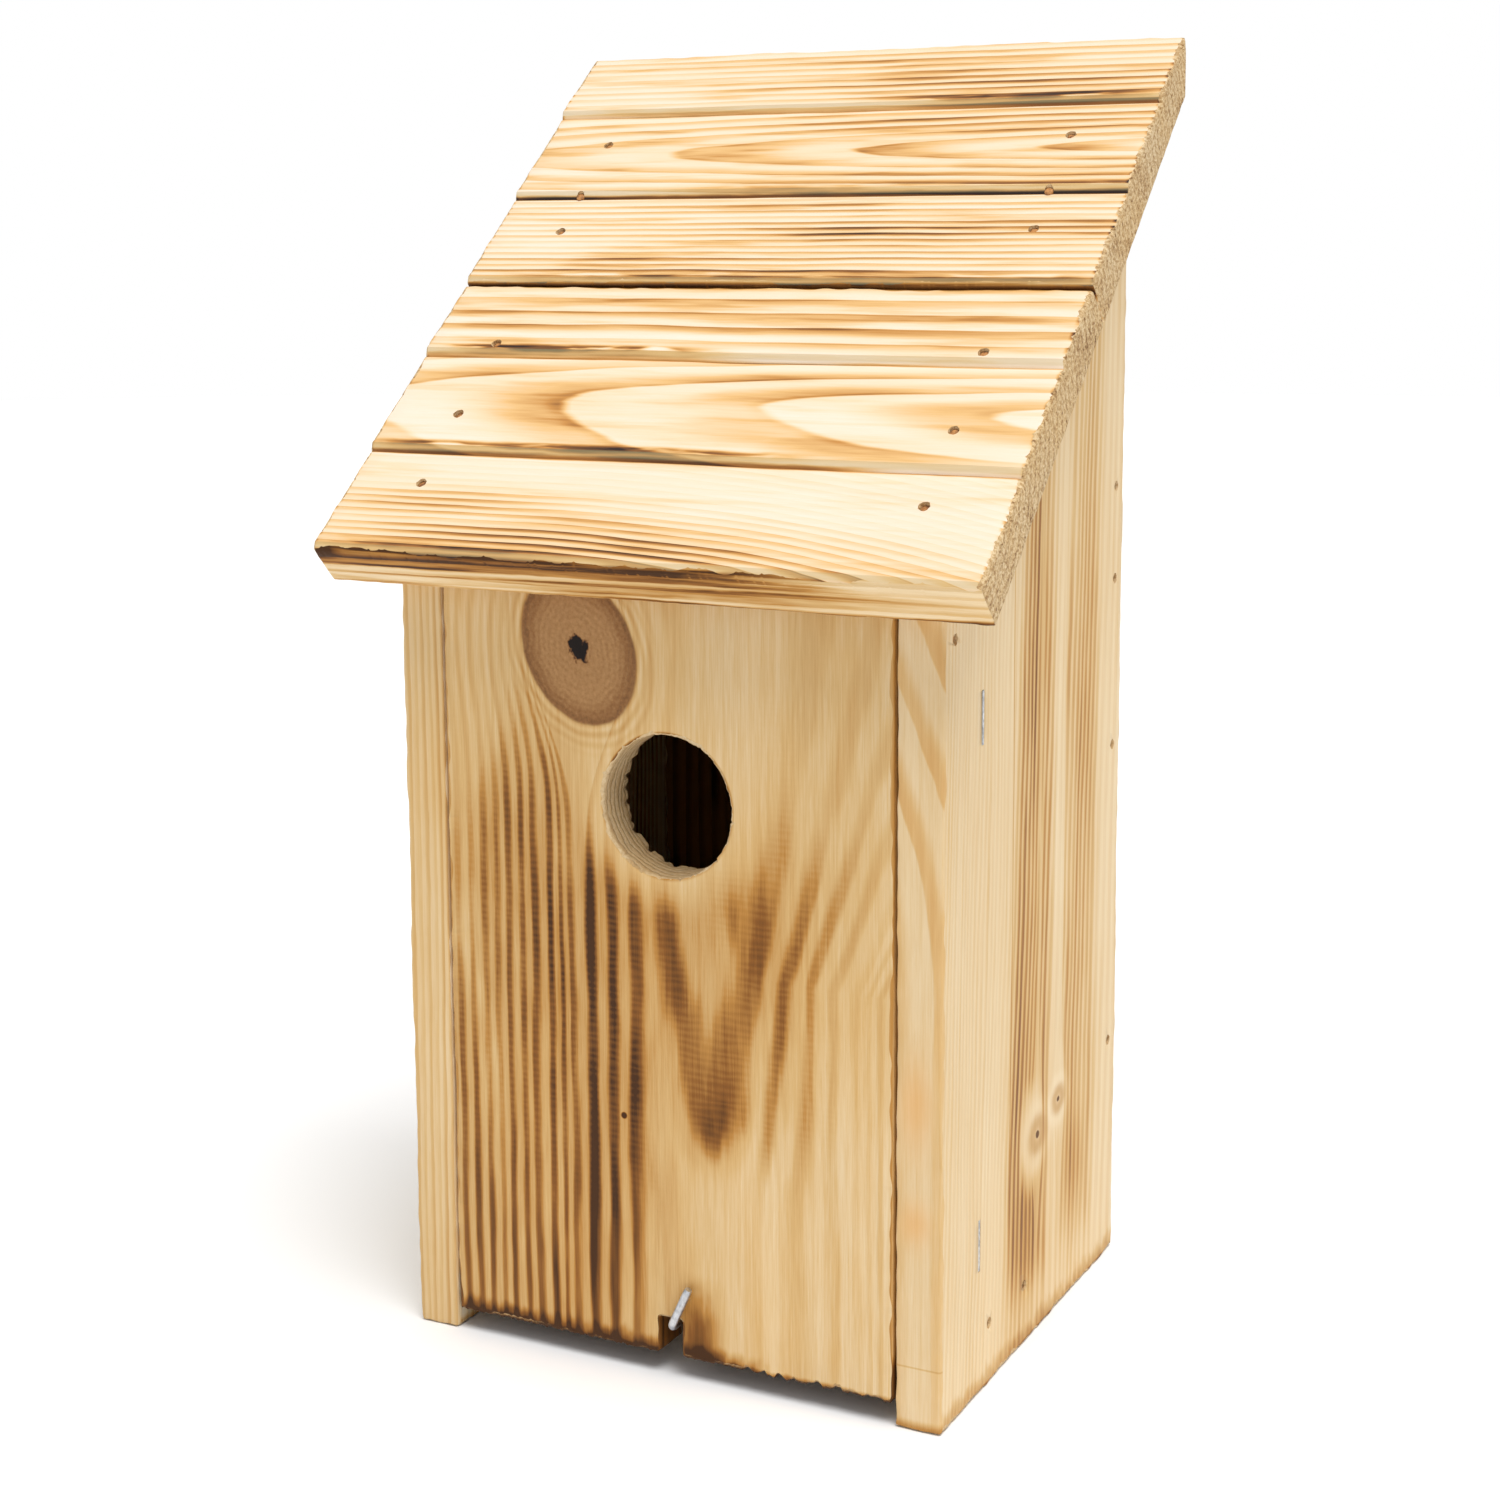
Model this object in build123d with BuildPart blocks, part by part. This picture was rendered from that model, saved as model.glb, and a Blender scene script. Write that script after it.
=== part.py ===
from build123d import *

import os
from math import cos, radians, sin, tan

# Wooden nest box: two side boards, a back, a floor, a hinged front board with
# a round entrance, and a lean-to roof of two stepped boards.
# X is to the right, Y runs from front to back, Z is up. The origin is under the
# middle of the box's footprint, at the level of the ground. Millimetres.

# ---- driving dimensions -----------------------------------------------------
BODY_WIDTH = 137.0  # across the outer faces of the side boards
BODY_DEPTH = 113.5  # front edges to back edges of the side boards
BOARD = 11.0  # planed thickness of the sides, back, floor and front
FRONT_HEIGHT = 187.0  # side boards, at their front edges

ROOF_WIDTH = 165.0
ROOF_SLOPE = 43.0  # degrees above the horizontal
ROOF_THICKNESS = 12.0
ROOF_OVERHANG = 6.7  # underside of the roof beyond the front edges, along Y
BOARD_FACE = 87.5  # width of one roof board up the slope, joint included
ROOF_JOINT = 0.6  # open gap where the two boards meet
STRIP_STARTS = (0.0, 31.0, 62.5)  # steps moulded in a board, from its low edge
STEP_DROP = 1.2
STEP_RUN = 1.8

FLOOR_UNDERSIDE = 9.0
DOOR_BOTTOM = 5.0
DOOR_TOP = 183.5
DOOR_SIDE_GAP = 0.6
STOP_GAP = 0.4  # between the closed door and what is behind it
PIVOT_HEIGHT = 175.5
PIVOT_CLEARANCE = 0.05

ENTRANCE_RADIUS = 16.0
ENTRANCE_X = 1.5
ENTRANCE_HEIGHT = 134.0

HOOK_X = 2.0
HOOK_HEIGHT = 12.4
HOOK_RADIUS = 1.0
HOOK_BEND = 2.0
HOOK_STANDOFF = 1.6  # door face to the centre of the hook's leg
HOOK_LEG = 11.5
HOOK_LEAN = 25.0  # degrees to the right of straight up when it holds the door
HOOK_EMBED = 14.0
HOOK_CLEARANCE = 0.05
NOTCH_WIDTH = 6.0
NOTCH_X = 1.0
NOTCH_TOP = 14.0

STOP_WIDTH = 12.0
STOP_DEPTH = 20.0
STOP_TOP = 165.0

BRAD_RADIUS = 0.7
BRAD_LENGTH = 30.0
BRAD_SET = 0.8  # depth of the head under the surface
HEAD_RADIUS = 1.1
HEAD_THICKNESS = 0.9
HEAD_BORE = BRAD_SET + HEAD_THICKNESS
BRAD_BORE = BRAD_SET + BRAD_LENGTH
ROOF_BRADS = (21.5, 43.0, 66.0, 106.0, 119.0, 138.5)  # up the slope
BACK_BRADS = (57.0, 134.0, 176.0, 199.0)  # heights
FLOOR_BRADS = (28.0, 50.0)  # behind the front edges
STAPLE_HEIGHTS = (35.5, 156.0)
STAPLE_CROWN = 12.0
STAPLE_WIDTH = 1.0
STAPLE_THICKNESS = 0.7
STAPLE_LEG = 17.0

SCREW_RADIUS = 2.5
SCREW_HEIGHTS = (50.0, 150.0)

# ---- places worked out from them --------------------------------------------
SLOPE = radians(ROOF_SLOPE)
NOSE = ROOF_OVERHANG + (ROOF_THICKNESS - STEP_DROP) * sin(SLOPE)
FRONT = (NOSE - BODY_DEPTH) / 2  # front edges of the sides, face of the door
BACK = FRONT + BODY_DEPTH
INNER_WIDTH = BODY_WIDTH - 2 * BOARD
DOOR_WIDTH = INNER_WIDTH - 2 * DOOR_SIDE_GAP
BEHIND_DOOR = FRONT + BOARD + STOP_GAP
FLOOR_TOP = FLOOR_UNDERSIDE + BOARD
HIDDEN_BACK = BACK - BOARD  # front face of the back panel
SIDES = (-1, 1)  # left and right
HANGING = (Align.CENTER, Align.CENTER, Align.MAX)  # below the plane it is placed on


def roof_underside(y):
    """Height of the roof's underside above the ground at a given Y."""
    return FRONT_HEIGHT + (y - FRONT) * tan(SLOPE)


# Section of the roof: local x runs up the slope from the low front edge, local
# y is square to the slope, and local z is +X.
EAVES = FRONT - ROOF_OVERHANG
ROOF_SECTION = Plane(
    origin=(0, EAVES, roof_underside(EAVES)),
    x_dir=(0, cos(SLOPE), sin(SLOPE)),
    z_dir=(1, 0, 0),
)


def strip_top(distance):
    """Height of the stepped roof face over its underside, up the slope."""
    along = distance % BOARD_FACE
    ends = (*STRIP_STARTS[1:], BOARD_FACE)
    start, end = [pair for pair in zip(STRIP_STARTS, ends) if pair[0] <= along][-1]
    return ROOF_THICKNESS - STEP_DROP * (along - start) / (end - start)


def side_face(side, behind_front, height):
    """Plane on a side board's outer face: local y is up, local z is outwards."""
    return Plane(
        origin=(side * BODY_WIDTH / 2, FRONT + behind_front, height),
        x_dir=(0, side, 0),
        z_dir=(side, 0, 0),
    )


def roof_face(side, distance):
    """Plane on the roof's face over a side board's edge, square to the slope."""
    return Plane(
        origin=ROOF_SECTION.from_local_coords(
            (distance, strip_top(distance), side * (BODY_WIDTH - BOARD) / 2)
        ),
        x_dir=(1, 0, 0),
        z_dir=ROOF_SECTION.y_dir,
    )


ROOF_POINTS = [roof_face(side, s) for side in SIDES for s in ROOF_BRADS]
BACK_POINTS = [side_face(s, BODY_DEPTH - BOARD / 2, z) for s in SIDES for z in BACK_BRADS]
FLOOR_POINTS = [
    side_face(s, y, FLOOR_UNDERSIDE + BOARD / 2) for s in SIDES for y in FLOOR_BRADS
]
PIVOT_POINTS = [side_face(side, BOARD / 2, PIVOT_HEIGHT) for side in SIDES]
STAPLE_POINTS = [
    side_face(side, BOARD + STOP_GAP + STOP_DEPTH / 2, z)
    for side in SIDES
    for z in STAPLE_HEIGHTS
]


# ---- fasteners --------------------------------------------------------------
def brads(points):
    """Headed brads driven in at each plane, with their heads set under the face."""
    with BuildPart() as nails:
        with Locations(*[point.offset(-BRAD_SET) for point in points]):
            Cylinder(HEAD_RADIUS, HEAD_THICKNESS, align=HANGING)
            Cylinder(BRAD_RADIUS, BRAD_LENGTH, align=HANGING)
    return nails.part


roof_brads = brads(ROOF_POINTS)
roof_brads.label = "roof_brads"

back_brads = brads(BACK_POINTS)
back_brads.label = "back_brads"

floor_brads = brads(FLOOR_POINTS)
floor_brads.label = "floor_brads"

pivot_brads = brads(PIVOT_POINTS)
pivot_brads.label = "pivot_brads"

# Staples through the sides into the door stops: crown flush with the side.
with BuildPart() as stop_staples:
    with Locations(*STAPLE_POINTS):
        Box(STAPLE_WIDTH, STAPLE_CROWN, STAPLE_THICKNESS, align=HANGING)
        with GridLocations(0, STAPLE_CROWN - STAPLE_THICKNESS, 1, 2):
            Box(STAPLE_WIDTH, STAPLE_THICKNESS, STAPLE_LEG, align=HANGING)
stop_staples.part.label = "stop_staples"


# ---- body -------------------------------------------------------------------
def side_board(side):
    """One side board: plumb edges and a top cut to the slope of the roof."""
    with BuildPart() as board:
        with BuildSketch(Plane.YZ.offset(side * BODY_WIDTH / 2)):
            Polygon(
                (FRONT, 0),
                (BACK, 0),
                (BACK, roof_underside(BACK)),
                (FRONT, roof_underside(FRONT)),
                align=None,
            )
        extrude(amount=-side * BOARD)
        with Locations(*BACK_POINTS, *FLOOR_POINTS, *PIVOT_POINTS):
            CounterBoreHole(BRAD_RADIUS, HEAD_RADIUS, HEAD_BORE, BRAD_BORE)
        with Locations(*ROOF_POINTS):
            Hole(BRAD_RADIUS, BRAD_BORE)
        add(stop_staples.part, mode=Mode.SUBTRACT)
    return board.part


left_side = side_board(-1)
left_side.label = "left_side"

right_side = side_board(1)
right_side.label = "right_side"

# The back stands between the sides, with its top planed to the slope.
with BuildPart() as back_panel:
    with BuildSketch(Plane.YZ):
        Polygon(
            (HIDDEN_BACK, 0),
            (BACK, 0),
            (BACK, roof_underside(BACK)),
            (HIDDEN_BACK, roof_underside(HIDDEN_BACK)),
            align=None,
        )
    extrude(amount=INNER_WIDTH / 2, both=True)
    with Locations(*BACK_POINTS):
        Hole(BRAD_RADIUS, BRAD_BORE)
    with Locations(*[Plane(origin=(0, BACK, z), z_dir=(0, 1, 0)) for z in SCREW_HEIGHTS]):
        Hole(SCREW_RADIUS, depth=BOARD)
back_panel.part.label = "back_panel"

with BuildPart() as floor_panel:
    with BuildSketch(Plane.XY.offset(FLOOR_UNDERSIDE)):
        with Locations((0, (BEHIND_DOOR + HIDDEN_BACK) / 2)):
            Rectangle(INNER_WIDTH, HIDDEN_BACK - BEHIND_DOOR)
    extrude(amount=BOARD)
    with Locations(*FLOOR_POINTS):
        Hole(BRAD_RADIUS, BRAD_BORE)
    with Locations(Plane(origin=(HOOK_X, BEHIND_DOOR, HOOK_HEIGHT), z_dir=(0, -1, 0))):
        Hole(HOOK_RADIUS + HOOK_CLEARANCE, depth=HOOK_EMBED + HOOK_CLEARANCE)
floor_panel.part.label = "floor_panel"


def door_stop(side):
    """Upright batten on the inner face of a side board, behind the door."""
    with BuildPart() as stop:
        with BuildSketch(Plane.XY.offset(FLOOR_TOP)):
            with Locations((side * INNER_WIDTH / 2, BEHIND_DOOR)):
                inwards = Align.MIN if side < 0 else Align.MAX
                Rectangle(STOP_WIDTH, STOP_DEPTH, align=(inwards, Align.MIN))
        extrude(amount=STOP_TOP - FLOOR_TOP)
        add(stop_staples.part, mode=Mode.SUBTRACT)
    return stop.part


left_stop = door_stop(-1)
left_stop.label = "left_stop"

right_stop = door_stop(1)
right_stop.label = "right_stop"


# ---- roof -------------------------------------------------------------------
def stepped_face(first, last):
    """Corners of a roof board's weather face, from its low edge to its high edge."""
    corners = [(first, ROOF_THICKNESS - STEP_DROP)]
    for start, end in zip(STRIP_STARTS, (*STRIP_STARTS[1:], last - first)):
        corners.append((first + start + STEP_RUN, ROOF_THICKNESS))
        corners.append((first + end, ROOF_THICKNESS - STEP_DROP))
    return corners


with BuildPart() as roof_board_front:
    with BuildSketch(ROOF_SECTION):
        top = BOARD_FACE - ROOF_JOINT
        Polygon((0, 0), *stepped_face(0, top), (top, 0), align=None)
    extrude(amount=ROOF_WIDTH / 2, both=True)
    with Locations(*ROOF_POINTS):
        CounterBoreHole(BRAD_RADIUS, HEAD_RADIUS, HEAD_BORE, BRAD_BORE)
roof_board_front.part.label = "roof_board_front"

# The rear board is the same moulding, cut plumb in line with the back.
with BuildPart() as roof_board_rear:
    with BuildSketch(ROOF_SECTION):
        top = 2 * BOARD_FACE + STEP_RUN
        low_edge = (BOARD_FACE, 0)
        Polygon(low_edge, *stepped_face(BOARD_FACE, top), (top, 0), align=None)
    extrude(amount=ROOF_WIDTH / 2, both=True)
    split(bisect_by=Plane.XZ.offset(-BACK), keep=Keep.TOP)
    with Locations(*ROOF_POINTS):
        CounterBoreHole(BRAD_RADIUS, HEAD_RADIUS, HEAD_BORE, BRAD_BORE)
roof_board_rear.part.label = "roof_board_rear"

# ---- door and hook ----------------------------------------------------------
# The door turns on two brads near its top and is held at the bottom by the hook,
# whose shank stands in the notch.
with BuildPart() as front_door:
    with BuildSketch(Plane.XZ.offset(-FRONT)):
        with Locations((0, DOOR_BOTTOM)):
            Rectangle(
                DOOR_WIDTH, DOOR_TOP - DOOR_BOTTOM, align=(Align.CENTER, Align.MIN)
            )
        with Locations((NOTCH_X, DOOR_BOTTOM)):
            Rectangle(
                NOTCH_WIDTH,
                NOTCH_TOP - DOOR_BOTTOM,
                align=(Align.CENTER, Align.MIN),
                mode=Mode.SUBTRACT,
            )
    extrude(amount=-BOARD)
    with Locations(
        Plane(origin=(ENTRANCE_X, FRONT, ENTRANCE_HEIGHT), z_dir=(0, -1, 0))
    ):
        Hole(ENTRANCE_RADIUS, depth=BOARD)
    with Locations(*PIVOT_POINTS):
        Hole(BRAD_RADIUS + PIVOT_CLEARANCE, BRAD_BORE + DOOR_SIDE_GAP)
front_door.part.label = "front_door"

with BuildPart() as door_hook:
    lean = radians(HOOK_LEAN)
    corner = Vector(HOOK_X, FRONT - HOOK_STANDOFF, HOOK_HEIGHT)
    buried_end = Vector(HOOK_X, BEHIND_DOOR + HOOK_EMBED, HOOK_HEIGHT)
    tip = corner + Vector(sin(lean), 0, cos(lean)) * HOOK_LEG
    with BuildLine():
        FilletPolyline(buried_end, corner, tip, radius=HOOK_BEND)
    with BuildSketch(Plane(origin=buried_end, z_dir=(0, -1, 0))):
        Circle(HOOK_RADIUS)
    sweep()
door_hook.part.label = "door_hook"

# ---- export -----------------------------------------------------------------
PIECES = [
    left_side,
    right_side,
    back_panel.part,
    floor_panel.part,
    left_stop,
    right_stop,
    roof_board_front.part,
    roof_board_rear.part,
    front_door.part,
    door_hook.part,
    roof_brads,
    back_brads,
    floor_brads,
    pivot_brads,
    stop_staples.part,
]
for piece in PIECES:
    export_step(piece, f"parts/{piece.label}.step")
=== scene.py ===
import math

import bmesh
import bpy
import numpy as np
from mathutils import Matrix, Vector
from mathutils.geometry import delaunay_2d_cdt


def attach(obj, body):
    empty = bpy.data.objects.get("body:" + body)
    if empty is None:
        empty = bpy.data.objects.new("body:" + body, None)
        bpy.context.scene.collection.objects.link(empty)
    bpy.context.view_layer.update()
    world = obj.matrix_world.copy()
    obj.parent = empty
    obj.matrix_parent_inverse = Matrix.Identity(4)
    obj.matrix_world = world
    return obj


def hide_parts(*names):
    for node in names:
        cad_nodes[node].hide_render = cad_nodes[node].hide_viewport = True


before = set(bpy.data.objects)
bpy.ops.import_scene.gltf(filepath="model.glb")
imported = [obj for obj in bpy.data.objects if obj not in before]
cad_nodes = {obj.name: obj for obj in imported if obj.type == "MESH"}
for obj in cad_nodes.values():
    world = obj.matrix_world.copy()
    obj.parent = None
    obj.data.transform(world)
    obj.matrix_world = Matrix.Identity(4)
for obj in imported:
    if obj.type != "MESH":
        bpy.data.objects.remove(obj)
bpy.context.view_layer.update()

# Lengths are in millimetres until a mesh is made.
MM = 0.001
SHARP = 32.0  # degrees between faces that meet in a crisp edge

# ---- sizes shared with the frame --------------------------------------------
HALF_WIDTH = 68.5  # outer faces of the side boards
BOARD = 11.0
FRONT = -49.717
BACK = 63.783
INNER = HALF_WIDTH - BOARD
HIDDEN_BACK = BACK - BOARD
BEHIND_DOOR = FRONT + BOARD + 0.4
SLOPE = math.radians(43.0)
EAVES = FRONT - 6.7
ROOF_HALF = 82.5
ROOF_THICKNESS = 12.0
BOARD_FACE = 87.5
ROOF_JOINT = 0.6
STRIPS = (0.0, 31.0, 62.5)
STEP_DROP = 1.2
STEP_RUN = 1.8
DOOR_HALF = INNER - 0.6
DOOR_BOTTOM = 5.0
DOOR_TOP = 183.5
PIVOT_HEIGHT = 175.5
HOLE_X = 1.5
HOLE_Z = 134.0
HOLE_RADIUS = 16.0
FLOOR_TOP = 20.0
STOP_TOP = 165.0
STOP_WIDTH = 20.0
STOP_DEPTH = 12.0
NOTCH_TOP = 14.0
SIDE_FRONT_TOP = 187.0  # the side boards' height at their front edge
HOOK_X = 2.0
HOOK_Z = 12.4
HOOK_STANDOFF = 1.6  # from the door's face to the middle of the hook's leg
HOOK_BURIED = 14.0
HOOK_LEG = 11.35
HOOK_BEND = 2.0
HOOK_LEAN = 25.0  # degrees from upright, in the rest pose
WIRE_RADIUS = 1.0


def roof_underside(y):
    return SIDE_FRONT_TOP + (y - FRONT) * math.tan(SLOPE)


EAVES_Z = roof_underside(EAVES)


# ---- random curves ----------------------------------------------------------
def waves(seed, shortest, longest, count=9):
    """A smooth random curve, about 1 in size, made of sines of many lengths."""
    dice = np.random.default_rng(seed)
    periods = np.geomspace(shortest, longest, count)
    phases = dice.uniform(0, 2 * math.pi, count)
    weights = dice.uniform(0.5, 1.0, count)
    weights /= np.sqrt((weights**2).sum() / 2)

    def curve(t):
        t = np.asarray(t, float)
        return sum(
            w * np.sin(2 * math.pi * t / p + f) for w, p, f in zip(weights, periods, phases)
        )

    return curve


# ---- meshes of sawn boards --------------------------------------------------
FACE_WEAR = 0.05  # how far planed faces lie inside the CAD board
ON_CREASE = 1e-3  # how near a rim point is to a crease that starts from it
BY_CREASE = 0.8  # no loose point of the face lies nearer to a crease


def unit(vector):
    return vector / np.linalg.norm(vector)


def rounded(corners, radius=0.9, step=1.0):
    """Close points round a polygon whose corners are eased."""
    corners = [np.array(c, float) for c in corners]
    points = []
    for k, corner in enumerate(corners):
        before, after = corners[k - 1], corners[(k + 1) % len(corners)]
        entry = corner + unit(before - corner) * radius
        leaving = corner + unit(after - corner) * radius
        for t in np.linspace(0, 1, 5):
            points.append((1 - t) ** 2 * entry + 2 * t * (1 - t) * corner + t * t * leaving)
        far = after + unit(corner - after) * radius
        count = max(2, int(np.linalg.norm(far - leaving) / step))
        points.extend(leaving + (far - leaving) * j / count for j in range(1, count))
    return np.array(points)


def circle(centre, radius, count):
    """Points round a hole, clockwise, so that the wood is on the left."""
    turn = -np.linspace(0, 2 * math.pi, count, endpoint=False)
    return np.array(centre) + radius * np.column_stack((np.cos(turn), np.sin(turn)))


def into_wood(loop):
    """Unit vectors from the points of a loop into the wood."""
    along = np.roll(loop, -1, axis=0) - np.roll(loop, 1, axis=0)
    left = np.column_stack((-along[:, 1], along[:, 0]))
    return left / np.linalg.norm(left, axis=1)[:, None]


def inside(points, loops):
    """Which points lie in the wood that the loops enclose."""
    result = np.zeros(len(points), bool)
    for loop in loops:
        a, b = loop, np.roll(loop, -1, axis=0)
        for (ax, ay), (bx, by) in zip(a, b):
            spans = (ay > points[:, 1]) != (by > points[:, 1])
            if not spans.any():
                continue
            cross = ax + (points[spans, 1] - ay) / (by - ay) * (bx - ax)
            hit = np.zeros(len(points), bool)
            hit[spans] = points[spans, 0] < cross
            result ^= hit
    return result


def clear_of(points, loops, gap):
    """The points that are further than gap from every point of the loops."""
    rim = np.vstack(loops)
    keep = np.ones(len(points), bool)
    for start in range(0, len(points), 500):
        part = points[start : start + 500]
        near = np.linalg.norm(part[:, None] - rim[None], axis=2).min(axis=1)
        keep[start : start + 500] = near > gap
    return points[keep]


def walls(first, size, count):
    """For count rings of size points from index first: (point's number, quad)."""
    for k in range(count - 1):
        for j in range(size):
            n = (j + 1) % size
            a, b = first + k * size + j, first + k * size + n
            yield j, (a, b, b + size, a + size)


def edge_stations(thickness, arris):
    """(depth, inset) pairs across a board's edge, rounded at both arrises."""
    bend = np.linspace(0, math.pi / 2, 4)
    eased = [(arris * (1 - math.cos(t)), arris * (1 - math.sin(t))) for t in bend]
    plain = [(depth, 0.0) for depth in np.linspace(arris, thickness - arris, 6)[1:-1]]
    return eased + plain + [(thickness - depth, inset) for depth, inset in reversed(eased)]


def crease_lines(flat, creases, grid):
    """(first point, last point, places between them) for each crease across the rim."""
    lines = []
    for height in creases:
        ends = [j for j in range(len(flat)) if abs(flat[j, 1] - height) < ON_CREASE]
        ends = sorted(ends, key=lambda j: flat[j, 0])
        if len(ends) >= 2:
            inner = np.arange(flat[ends[0], 0] + grid, flat[ends[-1], 0] - grid / 2, grid)
            lines.append((ends[0], ends[-1], np.column_stack((inner, inner * 0 + height))))
    return lines


def grid_points(loop, grid):
    """A square grid of points over a loop's box."""
    lo, hi = loop.min(axis=0), loop.max(axis=0)
    across = np.arange(lo[0] + grid / 2, hi[0], grid)
    up = np.arange(lo[1] + grid / 2, hi[1], grid)
    return np.array(np.meshgrid(across, up)).reshape(2, -1).T


def fill(rings, spots, creases, grid):
    """Triangles that fill the rings: points, what each stems from, and the triangles."""
    flat = np.vstack(rings)
    edges, start = [], 0
    for ring in rings:
        edges += [(start + j, start + (j + 1) % len(ring)) for j in range(len(ring))]
        start += len(ring)
    extra = clear_of(spots[inside(spots, rings)], rings, 0.45 * grid)
    lines = crease_lines(flat, creases, grid)
    if lines:
        near = np.min([abs(extra[:, 1] - line[2][0, 1]) for line in lines], axis=0)
        extra = extra[near > BY_CREASE]
    for begin, end, inner in lines:
        base = len(flat)
        flat = np.vstack((flat, inner))
        chain = [begin, *range(base, base + len(inner)), end]
        edges += list(zip(chain, chain[1:]))
    flat = np.vstack((flat, extra))
    found = delaunay_2d_cdt([tuple(p) for p in flat], edges, [], 0, 1e-7)
    points = np.array([tuple(p) for p in found[0]])
    triangles = np.array([tuple(t) for t in found[2]])
    return points, found[3], triangles[inside(points[triangles].mean(axis=1), rings)]


def slab(loops, thickness, seed, arris=0.7, jag=None, relief=None, creases=(), grid=4.0):
    """A board as vertices (a, b, depth) and faces, each with the direction it looks in.

    The first loop is the outline, anticlockwise; the others are holes. depth
    runs from the face to the back of the board. jag(a, b, depth) is how much
    is worn off an edge and relief(a, b) how far the face is below its plane.
    """
    wear = waves(seed, 7, 90)
    cup = waves(seed + 1, 45, 160)
    stations = edge_stations(thickness, arris)

    def face_depth(a, b):
        low = FACE_WEAR + FACE_WEAR * cup(a + 0.4 * b) * cup(b - 0.3 * a)
        return low + (relief(a, b) if relief else 0)

    vertices, faces, looks, rims = [], [], [], []
    first = 0
    for number, loop in enumerate(loops):
        inward = into_wood(loop)
        reach = np.cumsum(np.linalg.norm(np.diff(loop, axis=0, append=loop[:1]), axis=1))
        soft = 1 + 0.45 * wear(reach + 37 * number)
        size = len(loop)
        for depth, inset in stations:
            shift = inset * np.clip(soft, 0.3, 1.8) + 0.03 * (1 + wear(reach * 1.7 + depth))
            if jag:
                shift = shift + jag(loop[:, 0], loop[:, 1], depth)
            place = loop + inward * np.maximum(shift, 0)[:, None]
            sink = face_depth(place[:, 0], place[:, 1]) * (1 - depth / thickness)
            back = -FACE_WEAR * depth / thickness
            vertices.append(np.column_stack((place, depth + sink + back)))
        for j, quad in walls(first, size, len(stations)):
            faces.append(quad)
            looks.append(tuple(-inward[j]))
        rims.append((first, first + (len(stations) - 1) * size, size))
        first += len(stations) * size
    vertices = np.vstack(vertices)

    spots = grid_points(loops[0], grid)
    for is_back in (0, 1):
        rings = [vertices[rim[is_back] : rim[is_back] + rim[2], :2] for rim in rims]
        ids = [i for rim in rims for i in range(rim[is_back], rim[is_back] + rim[2])]
        points, sources, triangles = fill(rings, spots, creases, grid)
        if is_back:
            level = points[:, 0] * 0 + thickness - FACE_WEAR
        else:
            level = face_depth(points[:, 0], points[:, 1])
        made, added = {}, []
        for j, source in enumerate(sources):
            known = [ids[k] for k in source if k < len(ids)]
            if known:
                made[j] = known[0]
            else:
                made[j] = len(vertices) + len(added)
                added.append((points[j, 0], points[j, 1], level[j]))
        if added:
            vertices = np.vstack((vertices, added))
        for triangle in triangles:
            faces.append(tuple(made[int(j)] for j in triangle))
            looks.append((0.0, 0.0))
    return vertices, faces, looks


def mesh_piece(name, vertices, faces, materials=(), numbers=None):
    """A shown object from millimetre vertices, with a material number for each face."""
    mesh = bpy.data.meshes.new(name)
    mesh.from_pydata([tuple(v * MM for v in p) for p in vertices], [], faces)
    for material in materials:
        mesh.materials.append(material)
    if numbers is not None:
        mesh.polygons.foreach_set("material_index", numbers)
    work = bmesh.new()
    work.from_mesh(mesh)
    bmesh.ops.remove_doubles(work, verts=work.verts, dist=1e-7)
    bmesh.ops.recalc_face_normals(work, faces=work.faces)
    work.to_mesh(mesh)
    work.free()
    mesh.polygons.foreach_set("use_smooth", [True] * len(mesh.polygons))
    mesh.set_sharp_from_angle(angle=math.radians(SHARP))
    thing = bpy.data.objects.new(name, mesh)
    bpy.context.scene.collection.objects.link(thing)
    return thing


def board(name, made, place, number, materials):
    """A slab put in the row frame: place(a, b, depth) and number(look) per face."""
    vertices, faces, looks = made
    x, y, z = place(vertices[:, 0], vertices[:, 1], vertices[:, 2])
    numbers = [number(look) for look in looks]
    return mesh_piece(name + "_visual", np.column_stack((x, y, z)), faces, materials, numbers)


def tube_faces(count, segments):
    """Walls and both ends of a tube of count rings."""
    last = (count - 1) * segments
    ends = [tuple(range(segments))[::-1], tuple(range(last, last + segments))]
    return [quad for _, quad in walls(0, segments, count)] + ends


def lathe(profile, origin, axis, seed, segments=14, rough=0.0):
    """A turned solid along an axis: profile of (radius, distance), ends on the axis."""
    axis = unit(np.array(axis, float))
    helper = np.array((0, 0, 1.0)) if abs(axis[2]) < 0.9 else np.array((1.0, 0, 0))
    first = unit(np.cross(axis, helper))
    second = np.cross(axis, first)
    bumps = waves(seed, 0.6, 2.1, 4)
    turn = np.linspace(0, 2 * math.pi, segments, endpoint=False)
    vertices = []
    for radius, distance in profile:
        size = radius * (1 + rough * bumps(turn + distance))
        ring = np.array(origin) + axis * distance
        ring = ring + np.outer(size * np.cos(turn), first) + np.outer(size * np.sin(turn), second)
        vertices.append(ring)
    return np.vstack(vertices), tube_faces(len(profile), segments)


def joined(parts):
    """Several (vertices, faces) as one."""
    vertices, faces, start = [], [], 0
    for points, polygons in parts:
        vertices.append(points)
        faces += [tuple(start + i for i in polygon) for polygon in polygons]
        start += len(points)
    return np.vstack(vertices), faces


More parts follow.
